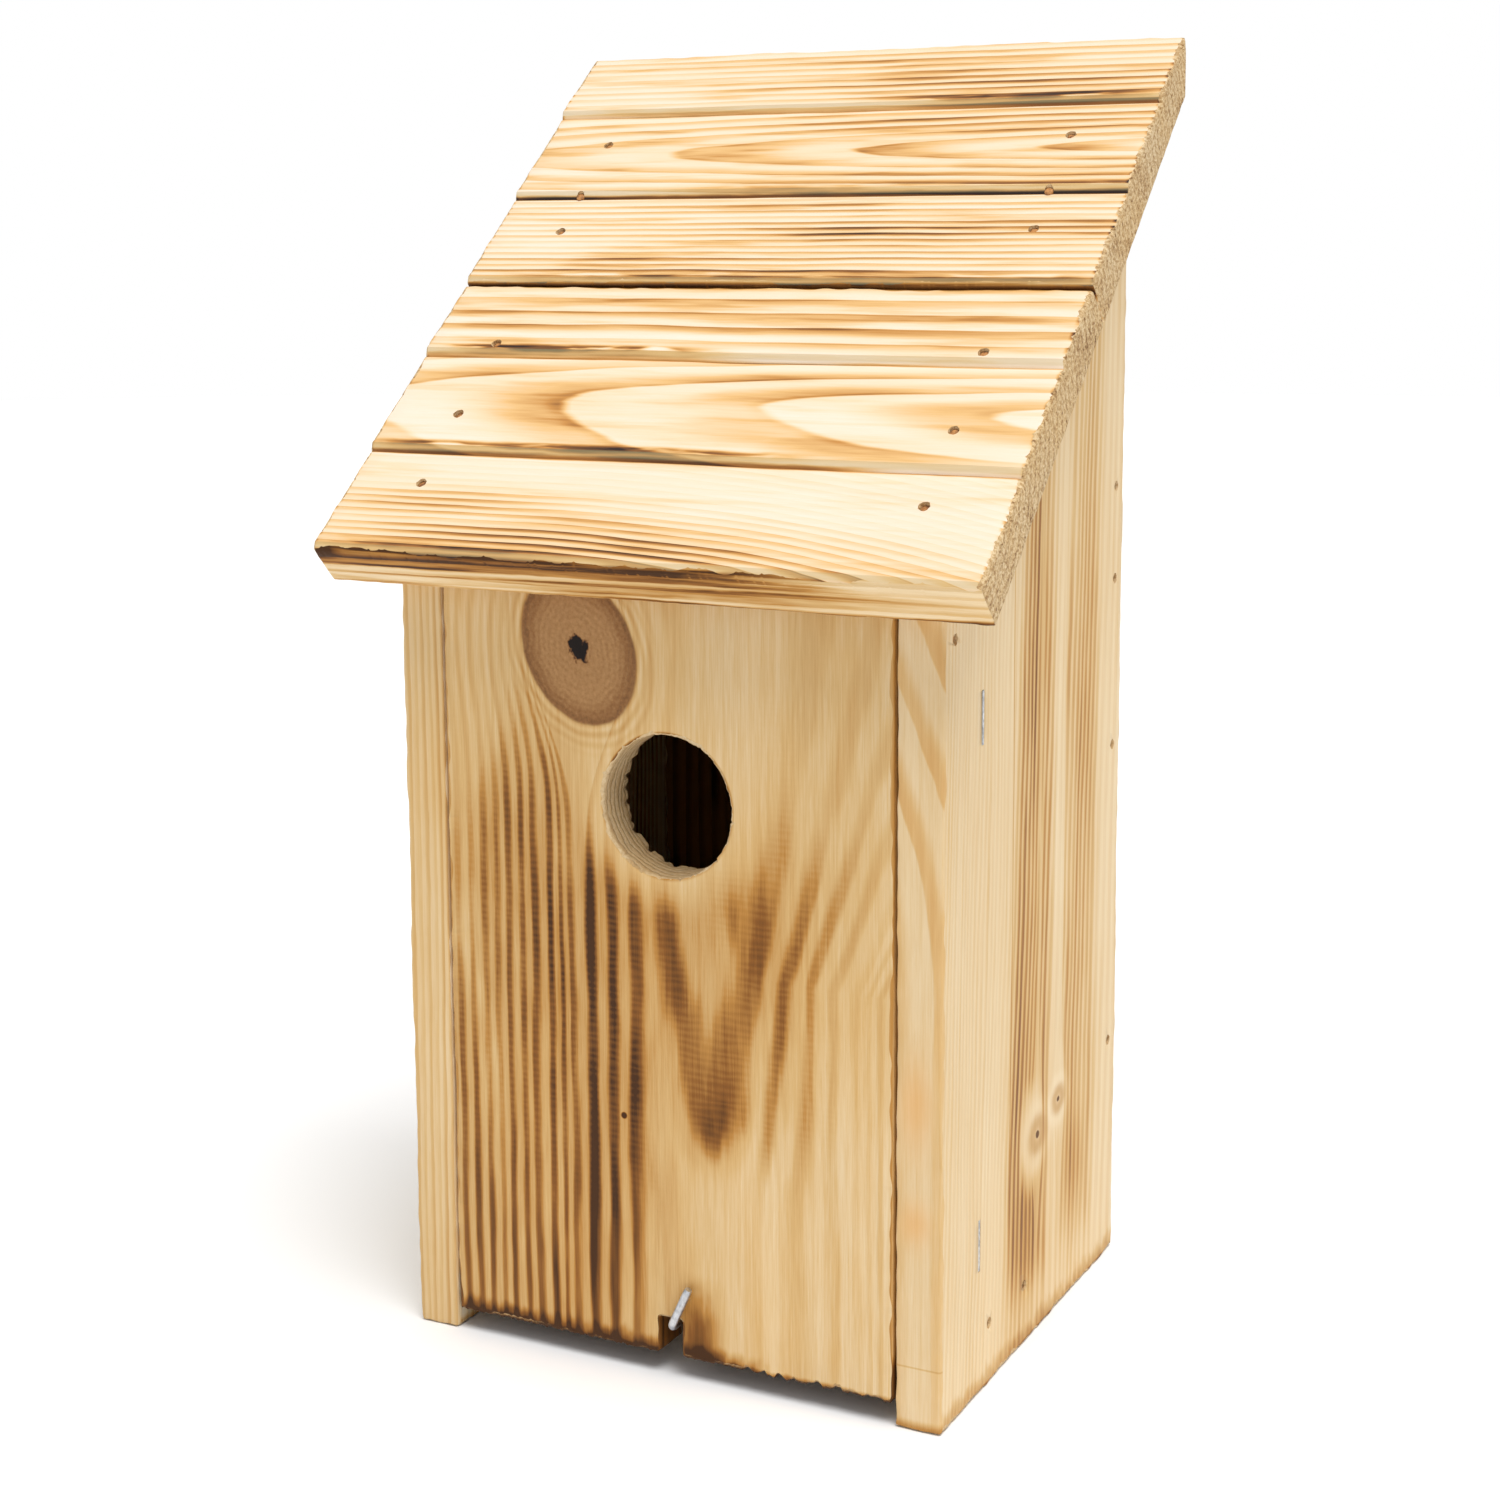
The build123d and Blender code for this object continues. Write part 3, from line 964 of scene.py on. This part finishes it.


# ---- the roof's wood --------------------------------------------------------
# Each moulded strip shows its own figure. centre and dip shape the arches, pitch
# is the ring width, and flames are hot places: x, s, reach along, reach across
# and strength. The seam entry darkens the crease of the step below the strip,
# part scorch and part painted shade: strength, from x, to x. streak is scorch
# just above that step, given the same way.
STRIP_LOOKS = {
    "roof_strip_1": dict(
        span=(0.0, 31.0), centre=-60.0, pitch=2.1, bow=0.00108,
        tone=0.08, late=0.08, phase=0.0, wash=0.16,
        flames=[(-15, 5, 62, 8, 1.3), (-55, 14, 34, 7, 0.8), (45, 0, 40, 4, 1.0)],
        seam_scorch_and_shade=(0.75, -90.0, 30.0), streak=(0.3, -85.0, -20.0),
    ),
    "roof_strip_2": dict(
        span=(31.0, 62.5), centre=48.1, low=0.5, dip=(8.63, -0.08), pitch=4.3,
        tone=0.06, late=0.34, phase=0.3, wash=0.14, flip=True,
        flames=[(-32, 47, 26, 11, 0.62), (25, 55, 50, 6, 0.85), (2, 38, 30, 6, 0.7),
                (36, 36, 30, 5, 0.75), (-60, 54, 30, 7, 0.6)],
        seam_scorch_and_shade=(0.8, -90.0, 45.0), streak=(0.75, -80.0, 22.0),
    ),
    "roof_strip_3": dict(
        span=(62.5, 87.3), centre=-80.0, pitch=5.0,
        tone=0.05, late=0.3, phase=0.35, wash=0.24,
        flames=[(0, 78, 95, 8, 0.6), (35, 69, 45, 6, 0.55), (-50, 74, 40, 7, 0.4)],
        seam_scorch_and_shade=(0.45, -90.0, 0.0), streak=(1.0, -76.0, -10.0),
    ),
    "roof_strip_4": dict(
        span=(87.3, 118.5), centre=-40.0, pitch=2.2,
        tone=0.06, late=0.32, phase=0.1, wash=0.26,
        flames=[(30, 103, 60, 9, 0.75), (-20, 92, 90, 6, 0.6), (10, 115, 90, 4, 0.35)],
        seam_scorch_and_shade=(1.3, -95.0, 95.0), streak=(0.45, -60.0, 80.0),
    ),
    "roof_strip_5": dict(
        span=(118.5, 150.0), centre=134.2, low=0.95, dip=(5.3, -0.052), pitch=2.6,
        tone=0.1, late=0.36, phase=-0.04, wash=0.26,
        flames=[(-10, 134, 45, 6, 0.6), (45, 143, 55, 5, 0.7), (40, 125, 60, 5, 0.55),
                (50, 134, 40, 4, 0.3)],
        seam_scorch_and_shade=(0.95, -90.0, 90.0), streak=(0.3, -30.0, 90.0),
    ),
    "roof_strip_6": dict(
        span=(150.0, 176.0), centre=-90.0, pitch=2.6,
        tone=0.08, late=0.28, phase=0.2, wash=0.24,
        flames=[(45, 158, 60, 9, 0.75), (10, 168, 80, 6, 0.45), (60, 152, 50, 4, 0.8)],
        seam_scorch_and_shade=(0.15, -60.0, 90.0), streak=(0.75, 20.0, 76.0),
    ),
}


def strip_wood(name, look, seed):
    m = Wood(name, roof_axes)
    u, v, w = m.u, m.v, m.w
    start = look["span"][0]
    bowed = most(u + 30.0, 0.0)
    aside = v - look["centre"] + bowed * bowed * look.get("bow", 0.0)
    aside = most(aside, 0.0) + most(aside * -1.0, 0.0) * look.get("low", 1.0)
    high, fall = look.get("dip", (0.0, 0.0))
    r = hypot(aside, most(u * fall + high, 0.0))
    r = r + w * 0.35 + m.wander(10.0 + seed, 0.55, 0.3)
    rings = r * (1 / look["pitch"]) + look["phase"]
    if "flip" in look:
        rings = rings * -1.0
    late = growth(rings, seed, 0.35, 0.25, 0.8)
    outline = hump(fraction(rings), 0.93, 0.06)
    fibres = m.fibres()
    patchy = m.noise((40, 2.6, 2.6), seed, 3.0)
    heat = None
    for x, s, along, across, strength in look["flames"]:
        flame = hump(u, x, along) * hump(v, s, across) * strength
        heat = flame if heat is None else most(heat, flame)
    heat *= (patchy * 1.3 + 0.95)
    tone = m.noise((70, 14, 14), seed + 5.0, 2.0) * 0.12 + look["tone"]
    wash = ramp(m.noise((44, 2.6, 2.6), seed + 8.0, 3.0), -0.04, 0.24)
    level = tone + late * (heat * 0.5 + look["late"] * 0.8) + heat * 0.17 + fibres * 0.12
    level += wash * look["wash"] + outline * (heat * 0.16 + 0.03)

    up = v - start
    strength, x0, x1 = look["seam_scorch_and_shade"]
    uneven = m.noise((14, 2, 2), seed + 3.0, 2.0)
    reach = ramp(u, x0 - 12.0, x0 + 12.0) * ramp(u, x1 + 12.0, x1 - 12.0)
    end = look["span"][1]
    # The step's crease below the strip and the strip's top end are darkened: part scorch, part painted
    # shade in the crease.
    seam_scorch_and_shade = ramp(up + uneven * 0.8, 1.1, 0.3) * reach * strength
    seam_scorch_and_shade = most(seam_scorch_and_shade, ramp(v + uneven * 0.8, end - 0.7, end - 0.1) * 0.6)
    strength, x0, x1 = look["streak"]
    reach = ramp(u, x0 - 14.0, x0 + 16.0) * ramp(u, x1 + 16.0, x1 - 14.0)
    thick = close(up + uneven * 1.6, 2.5, 1.5)
    streak = thick * reach * ramp(uneven, -0.25, 0.05) * strength * 0.8
    bevel = ramp(up, 1.95, 1.7) * (1.0 - ramp(up, 0.8, 0.3))
    level += seam_scorch_and_shade * 0.75 + streak + bevel * reach * strength * 0.4
    ends = most(ramp(u, 80.9, 82.3), ramp(u, -81.2, -82.4))
    level += ends * (late * 0.5 + uneven * 0.4)
    over = (linear((206, 186, 134)), bevel * 0.4)
    return m.finish(level, late, fibres, ROOF_CHAR, over, tint=0.15)


def fascia_wood():
    """The roof boards' long edges and undersides."""
    m = Wood("roof_edge_wood", roof_axes)
    u, v, w = m.u, m.v, m.w
    rings = (w + v * 0.25 + u * 0.012 + m.wander(3.0, 0.8, 0.3)) / 2.6
    late = growth(rings, 4, 0.4, 0.3, 0.85)
    fibres = m.fibres()
    uneven = m.noise((30, 3, 3), 2.0, 2.0)
    front = ramp(v, 3.0, 0.5)
    upper = ramp(w + uneven * 4.0, 6.6, 3.4) * ramp(u, 60.0, 5.0) * 1.2
    middle = hump(w - uneven * 4.0, 7.8, 2.2) * hump(u, 14.0, 46.0) * 1.1
    middle = most(middle, ramp(w + uneven * 2.0, 10.2, 11.6) * ramp(u, -40.0, 20.0) * 0.8)
    heat = most(upper, middle) * front * (uneven * 1.6 + 0.9)
    streaks = ramp(m.noise((60, 1.5, 1.5), 7.0, 3.0), -0.02, 0.22) * front
    level = late * (heat * 0.35 + 0.15) + heat * (streaks * 0.4 + 0.4) + fibres * 0.14
    level += streaks * ramp(u, 100.0, 10.0) * 0.3 + 0.24
    corner = ramp(u, -74.0, -82.0) * ramp(w + uneven * 3.0, 5.0, 2.0) * front
    level += corner * 0.6 + close(v, BOARD_FACE - 0.3, 1.4) * ramp(w, 6.0, 3.0) * 0.75
    return m.finish(level, late, fibres)


# ---- metal ------------------------------------------------------------------
def metal(name, dark, pale, rough, rust=0.0, shine=1.0):
    """Drawn steel wire: dull zinc or bare steel, with draw marks and blotches."""
    material = new_material(name)
    place = Field(node("TexCoord").outputs["Object"])
    place = Field(node("VectorMath", place, (1 / MM,) * 3, operation="MULTIPLY").outputs[0])
    blotch = noise(place, (1.4, 1.4, 1.4), 1.0, 3.0, 0.6)
    scratch = noise(place, (0.5, 0.5, 3.5), 3.0, 3.0, 0.7)
    colour = mixed(linear(dark), linear(pale), ramp(blotch + scratch * 0.5, -0.25, 0.2))
    if rust:
        spots = ramp(noise(place, (0.8, 0.8, 0.8), 5.0, 3.0, 0.7), 0.3 - rust, 0.36)
        colour = mixed(colour, linear((120, 72, 40)), spots)
    skin = surface(colour, blotch * 0.3 + rough, blotch + scratch, 0.6, 0.03)
    skin.inputs["Metallic"].default_value = shine
    return material


# ---- pieces -----------------------------------------------------------------
def dress(thing, body, slot, *nodes):
    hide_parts(*nodes)
    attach(thing, body)
    return thing


ACROSS = 0.62  # an edge whose look has more than this lies across the grain


def slots_by_look(look):
    """0 on the faces, 1 on edges across the grain (b runs along it), 2 along it."""
    if look == (0.0, 0.0):
        return 0
    return 1 if abs(look[1]) > ACROSS else 2


def staple_slots():
    """The frame's staples a little swollen, as solids to cut."""
    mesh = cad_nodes["stop_staples"].data.copy()
    thing = bpy.data.objects.new("staple_slots", mesh)
    bpy.context.scene.collection.objects.link(thing)
    work = bmesh.new()
    work.from_mesh(mesh)
    bmesh.ops.remove_doubles(work, verts=work.verts, dist=1e-6)
    work.normal_update()
    for corner in work.verts:
        corner.co += corner.normal * (0.16 * MM)
    work.to_mesh(mesh)
    work.free()
    thing.hide_render = True
    return thing


def discard(*things):
    for thing in things:
        bpy.data.objects.remove(thing)


def drill(thing, nails, number=1, radius=BRAD_RADIUS + 0.02):
    if fine:
        holes = bores("holes", nails, radius)
        cut(thing, holes, number)
        discard(holes)


SIDE_OUTLINE = [(FRONT, 0), (BACK, 0), (BACK, roof_underside(BACK)), (FRONT, SIDE_FRONT_TOP)]
slots = staple_slots()
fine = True


def side_piece(side, name, materials):
    loop = rounded(SIDE_OUTLINE, 0.9, 1.0)

    def worn(a, b, depth):
        foot = np.clip(1 - b / 4, 0, 1) * 0.12
        return foot * (1 + waves(5 + side, 1.5, 9)(a + 2 * depth))

    made = slab([loop], BOARD, 20 + side, arris=0.75, jag=worn)
    thing = board(name, made, lambda a, b, d: (side * (HALF_WIDTH - d), a, b), slots_by_look, materials)
    every = BACK_NAILS + FLOOR_NAILS + PIVOT_NAILS + ROOF_NAILS
    drill(thing, [nail for nail in every if nail[0][0] * side > 0])
    if fine:
        cut(thing, slots, 1)
    return dress(thing, "house", "side_wood", name)


right_edge = right_edge_wood()
side_end = end_wood("side_end_grain", right_axes, 2.1, 2.0)
left_edge = plain_wood("left_edge_wood", left_axes, 1.5, 2.0, 0.34)
left_end = end_wood("left_end_grain", left_axes, 2.1, 1.0)
side_piece(1, "right_side", [right_wood(), side_end, right_edge])
side_piece(-1, "left_side", [left_wood(), left_end, left_edge])


def back_piece():
    top = roof_underside(BACK)
    corners = [(-INNER, 0), (INNER, 0), (INNER, top), (-INNER, top)]
    screws = [circle((0, z), 2.5, 40) for z in (50.0, 150.0)]
    made = slab([rounded(corners), *screws], BOARD, 31)

    def place(a, b, d):
        planed = np.clip((b - 260.0) / (top - 260.0), 0, 1) * d * math.tan(SLOPE)
        return a, BACK - d, b - planed

    end = end_wood("back_end_grain", back_axes, 2.4, 1.5)
    edge = plain_wood("back_edge_wood", back_axes, 2.0, 4.0)
    thing = board("back_panel", made, place, slots_by_look, [back_wood(), end, edge])
    drill(thing, BACK_NAILS)
    dress(thing, "house", "back_wood", "back_panel")


def floor_piece():
    corners = [(-INNER, BEHIND_DOOR), (INNER, BEHIND_DOOR)]
    corners += [(INNER, HIDDEN_BACK), (-INNER, HIDDEN_BACK)]
    made = slab([rounded(corners)], BOARD, 37)
    wood = plain_wood("floor_panel_wood", floor_axes, 2.8, 6.0)
    end = end_wood("floor_end_grain", floor_axes, 2.4, 2.5)
    woods = [wood, end, wood]
    thing = board("floor_panel", made, lambda a, b, d: (a, b, FLOOR_TOP - d), across_look, woods)
    drill(thing, FLOOR_NAILS)
    if fine:
        bore = WIRE_RADIUS + 0.05
        profile = [(bore, -1.0), (bore, HOOK_BURIED + 0.05)]
        shank = lathe(profile, (HOOK_X, BEHIND_DOOR, HOOK_Z), (0, 1, 0), 3)
        hook_bore = mesh_piece("hook_bore", *shank)
        cut(thing, hook_bore, 1)
        discard(hook_bore)
    dress(thing, "house", "floor_wood", "floor_panel")


def across_look(look):
    """The same as slots_by_look, for a board whose grain runs along a."""
    return slots_by_look((look[1], look[0]))


def stop_piece(side, name, wood, end):
    rear = BEHIND_DOOR + STOP_WIDTH
    corners = [(BEHIND_DOOR, FLOOR_TOP), (rear, FLOOR_TOP), (rear, STOP_TOP)]
    made = slab([rounded([*corners, (BEHIND_DOOR, STOP_TOP)])], STOP_DEPTH, 43 + side)

    def place(a, b, d):
        return side * (INNER - STOP_DEPTH + d), a, b

    thing = board(name, made, place, slots_by_look, [wood, end, wood])
    if fine:
        cut(thing, slots, 1)
    dress(thing, "house", "stop_wood", name)


back_piece()
floor_piece()
stop_wood = plain_wood("stop_wood", stop_axes, 1.9, 8.0)
stop_end = end_wood("stop_end_grain", stop_axes, 1.8, 0.5)
stop_piece(-1, "left_stop", stop_wood, stop_end)
stop_piece(1, "right_stop", stop_wood, stop_end)
discard(slots)


ROOF_END, ROOF_EDGE = 3, 4  # material numbers; 0 to 2 are a roof board's strips


def roof_look(look):
    """0 on the faces, otherwise the number for the ends or for the long edges."""
    if look == (0.0, 0.0):
        return 0
    return ROOF_END if abs(look[0]) > ACROSS else ROOF_EDGE


def step_relief(s, ends):
    """How far the stepped weather face lies below the plane of its crests."""
    depth = np.zeros_like(s)
    s = np.clip(s, ends[0][0], ends[-1][1])
    for start, end in ends:
        here = (s >= start - 1e-6) & (s <= end + 1e-6)
        along = s - start
        rise = STEP_DROP * (1 - along / STEP_RUN)
        fall = STEP_DROP * (along - STEP_RUN) / (end - start - STEP_RUN)
        depth = np.where(here, np.where(along < STEP_RUN, rise, fall), depth)
    return np.clip(depth, 0, STEP_DROP)


def roof_piece(name, first, last, woods, seed, plumb):
    starts = [first + s for s in STRIPS]
    ends = list(zip(starts, [*starts[1:], first + BOARD_FACE if plumb else last]))
    creases = [s + extra for s in starts[1:] for extra in (-0.5, 0.0, 0.5, 1.3, 1.8, 2.6)]
    creases = [starts[0] + 0.95, starts[0] + 1.8, starts[0] + 2.6] + creases
    corners = [(-ROOF_HALF, first), (ROOF_HALF, first), (ROOF_HALF, last), (-ROOF_HALF, last)]
    loop = rounded(corners, 0.6, 0.55)
    for height in creases:
        for side in SIDES:
            flank = np.where(abs(loop[:, 0] - side * ROOF_HALF) < 1e-6)[0]
            loop[flank[np.argmin(abs(loop[flank, 1] - height))], 1] = height
    bites = waves(seed, 1.1, 6.0)
    nicks = waves(seed + 2, 0.9, 3.0)

    def relief(a, b):
        groove = sum(0.25 * np.exp(-(((b - s) / 0.35) ** 2)) for s in starts[1:])
        return step_relief(b, ends) + groove

    def worn(a, b, depth):
        shallow = np.clip(1 - depth / 2.2, 0, 1)
        right = np.clip((a - 70) / 10, 0, 1) * np.clip(bites(b) - 0.25, 0, 1.2) * 0.5
        left = np.clip((-a - 70) / 10, 0, 1) * np.clip(bites(b + 50) - 0.9, 0, 1) * 0.2
        low = np.clip(1 - (b - first) / 2, 0, 1) * np.clip(nicks(a) - 0.9, 0, 1) * 0.25
        return (right + left + low) * shallow

    made = slab([loop], ROOF_THICKNESS, seed, 0.6, worn, relief, creases, grid=3.5)

    def place(a, b, d):
        cut_back = np.clip((b - 153.5) / (last - 153.5), 0, 1) if plumb else 0.0
        h = ROOF_THICKNESS - d
        return on_slope(a, b - cut_back * d * math.tan(SLOPE), h)

    thing = board(name, made, place, roof_look, woods)
    centres = np.array([p.center for p in thing.data.polygons]) / MM
    s = (centres[:, 1] - EAVES) * math.cos(SLOPE) + (centres[:, 2] - EAVES_Z) * math.sin(SLOPE)
    h = (centres[:, 2] - EAVES_Z) * math.cos(SLOPE) - (centres[:, 1] - EAVES) * math.sin(SLOPE)
    numbers = np.array([p.material_index for p in thing.data.polygons])
    strip = np.clip(np.searchsorted(starts, s, side="right") - 1, 0, 2)
    face = numbers == 0
    underside = np.where(face, ROOF_EDGE, numbers)
    numbers = np.where(face & (h > ROOF_THICKNESS / 2), strip, underside)
    thing.data.polygons.foreach_set("material_index", numbers.astype(int).tolist())
    drill(thing, ROOF_NAILS, ROOF_END)
    dress(thing, "house", "roof_wood", name)


STRIP_MATERIALS = [
    strip_wood(name, look, float(k)) for k, (name, look) in enumerate(STRIP_LOOKS.items())
]
roof_end = end_wood("roof_end_grain", roof_axes, 2.6, 0.4, 0.1)
roof_edge = fascia_wood()
TOP = (BACK - EAVES) / math.cos(SLOPE) + ROOF_THICKNESS * math.tan(SLOPE)
LOW_WOODS = [*STRIP_MATERIALS[:3], roof_end, roof_edge]
HIGH_WOODS = [*STRIP_MATERIALS[3:], roof_end, roof_edge]
roof_piece("roof_board_front", 0.0, BOARD_FACE - ROOF_JOINT, LOW_WOODS, 61, False)
roof_piece("roof_board_rear", BOARD_FACE, TOP, HIGH_WOODS, 71, True)


def door_piece():
    low, high = -2.0, 4.0
    notch = [(low, DOOR_BOTTOM), (low, NOTCH_TOP), (high, NOTCH_TOP), (high, DOOR_BOTTOM)]
    corners = [(-DOOR_HALF, DOOR_BOTTOM), *notch, (DOOR_HALF, DOOR_BOTTOM)]
    corners += [(DOOR_HALF, DOOR_TOP), (-DOOR_HALF, DOOR_TOP)]
    outline = rounded(corners, 0.7, 0.6)
    hole = circle((HOLE_X, HOLE_Z), HOLE_RADIUS, 220)
    bites = waves(91, 3.6, 7.5, 4)
    frays = waves(92, 0.8, 5.0)
    torn = waves(93, 2.0, 12.0)

    def worn(a, b, depth):
        low = np.clip(1 - (b - DOOR_BOTTOM) / 1.5, 0, 1)
        shallow = np.clip(1.15 - depth / 4.0, 0.15, 1)
        right = np.clip((a - 12) / 10, 0, 1) * np.clip(bites(a) + 0.2, 0, 1.4) * 0.75
        foot = low * shallow * (right + 0.12 * (1 + frays(a)))
        turn = np.arctan2(b - HOLE_Z, a - HOLE_X) * HOLE_RADIUS
        from_hole = np.hypot(a - HOLE_X, b - HOLE_Z)
        at_hole = from_hole < HOLE_RADIUS + 0.5
        ridges = 0.10 * (1 + np.sin(depth * 2.6 + frays(turn * 0.3)))
        front = np.clip(1 - depth / 1.2, 0, 1) * np.clip(frays(turn) - 0.4, 0, 2) * 0.3
        rear = np.clip((depth - BOARD + 2.5) / 2.5, 0, 1) * np.clip(torn(turn) + 0.4, 0, 2) * 0.6
        return foot + at_hole * (ridges + front + rear)

    made = slab([outline, hole], BOARD, 55, arris=0.55, jag=worn)
    # The door's side edges get a darker base (0.5): painted shade, so the narrow gaps beside the side
    # boards read dark.
    edge = plain_wood("door_edge_wood_painted_gap_shade", door_axes, 2.2, 3.0, base=0.5, scorch=0.35)
    woods = [door_wood(), bore_wood(), edge]
    thing = board("front_door", made, lambda a, b, d: (a, FRONT + d, b), slots_by_look, woods)
    centres = np.array([p.center for p in thing.data.polygons]) / MM
    near = np.hypot(centres[:, 0] - HOLE_X, centres[:, 2] - HOLE_Z) < HOLE_RADIUS + 2.2
    numbers = np.array([p.material_index for p in thing.data.polygons])
    numbers = np.where(near & (numbers > 0), 1, numbers)
    thing.data.polygons.foreach_set("material_index", numbers.tolist())
    drill(thing, PIVOT_NAILS, radius=BRAD_RADIUS + 0.05)
    dress(thing, "door", "door_wood", "front_door")


door_piece()

steel = metal("brad_steel", (112, 66, 34), (206, 146, 84), 0.75, rust=0.15, shine=0.0)
zinc = metal("zinc_wire", (172, 177, 184), (214, 218, 224), 0.4)
for nail_name, places in (
    ("roof_brads", ROOF_NAILS),
    ("back_brads", BACK_NAILS),
    ("floor_brads", FLOOR_NAILS),
    ("pivot_brads", PIVOT_NAILS),
):
    nails = nail_piece(nail_name + "_heads", places, steel)
    dress(nails, "house", "brad_steel", nail_name)
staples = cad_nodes["stop_staples"]
staples.data.materials.clear()
staples.data.materials.append(metal("staple_zinc", (132, 134, 138), (222, 225, 228), 0.4))


def hook_path():
    """The middle line of the hook: buried shank, bend and leaning leg."""
    lean = math.radians(HOOK_LEAN)
    corner = np.array((HOOK_X, FRONT - HOOK_STANDOFF, HOOK_Z))
    up = np.array((math.sin(lean), 0.0, math.cos(lean)))
    back = np.array((0.0, 1.0, 0.0))
    centre = corner + (up + back) * HOOK_BEND
    path = [np.array((HOOK_X, BEHIND_DOOR + HOOK_BURIED, HOOK_Z))]
    path += [corner + back * d for d in np.linspace(27.0, 2.7, 24)[1:]]
    for t in np.linspace(0, math.pi / 2, 12):
        path.append(centre - up * HOOK_BEND * math.cos(t) - back * HOOK_BEND * math.sin(t))
    path += [corner + up * d for d in np.linspace(2.6, HOOK_LEG, 16)]
    return np.array(path), np.cross(up, back)


def hook_piece():
    """A bent wire hook: a smooth tube with a cropped, slightly burred end."""
    path, side = hook_path()
    segments = 24
    turn = np.linspace(0, 2 * math.pi, segments, endpoint=False)
    vertices = []
    for k, point in enumerate(path):
        along = unit(path[min(k + 1, len(path) - 1)] - path[max(k - 1, 0)])
        other = np.cross(along, side)
        left = len(path) - 1 - k
        girth = WIRE_RADIUS * (0.99 if left > 1 else 0.94 if left else 0.8)
        ring = np.outer(np.cos(turn), side) + np.outer(np.sin(turn), other)
        vertices.append(point + girth * ring)
    faces = tube_faces(len(path), segments)
    thing = mesh_piece("door_hook_wire", np.vstack(vertices), faces, [zinc])
    dress(thing, "hook", "zinc_wire", "door_hook")


hook_piece()


# ---- floor, light and camera ------------------------------------------------
def stage_floor():
    bpy.ops.mesh.primitive_circle_add(vertices=96, radius=4.0, fill_type="NGON")
    floor = bpy.context.object
    floor.name = "stage_floor"
    floor.location = (0, 0, -0.0001)
    material = bpy.data.materials.new("stage_white")
    material.use_nodes = True
    skin = material.node_tree.nodes["Principled BSDF"]
    skin.inputs["Base Color"].default_value = (0.98, 0.98, 0.98, 1)
    skin.inputs["Roughness"].default_value = 0.8
    skin.inputs["Specular IOR Level"].default_value = 0.1
    floor.data.materials.append(material)


stage_floor()


KEY_FROM = (0.26, -0.20, 0.93)
KEY_STRENGTH = 2.45
KEY_WIDTH = 35.0  # degrees
AMBIENT = 0.5


def studio():
    """A broad soft key from the upper right, and white surroundings."""
    data = bpy.data.lights.new("key", "SUN")
    data.energy = KEY_STRENGTH
    data.angle = math.radians(KEY_WIDTH)
    light = bpy.data.objects.new("key", data)
    scene.collection.objects.link(light)
    light.rotation_euler = Vector(KEY_FROM).to_track_quat("Z", "Y").to_euler()
    world = bpy.data.worlds.new("studio")
    scene.world = world
    world.use_nodes = True
    tree = world.node_tree
    background = tree.nodes["Background"]
    background.inputs["Color"].default_value = (1, 1, 1, 1)
    seen = tree.nodes.new("ShaderNodeLightPath")
    share = tree.nodes.new("ShaderNodeMapRange")
    share.inputs["To Min"].default_value = AMBIENT
    share.inputs["To Max"].default_value = 1.0
    tree.links.new(seen.outputs["Is Camera Ray"], share.inputs["Value"])
    tree.links.new(share.outputs[0], background.inputs["Strength"])


scene = bpy.context.scene
scene.view_settings.view_transform = "Standard"
studio()

CAMERA_PLACE = (0.25816, -0.49866, 0.25467)
CAMERA_DOWN, CAMERA_TURN = 8.19, 25.23  # degrees
camera_data = bpy.data.cameras.new("camera")
camera_data.sensor_width = 36.0
camera_data.lens = 57.0
camera_data.shift_x = -0.0667
camera_data.shift_y = -0.1
camera_data.clip_start = 0.01
camera = bpy.data.objects.new("camera", camera_data)
scene.collection.objects.link(camera)
camera.location = CAMERA_PLACE
camera.rotation_euler = (math.radians(90 - CAMERA_DOWN), 0.0, math.radians(CAMERA_TURN))
scene.camera = camera
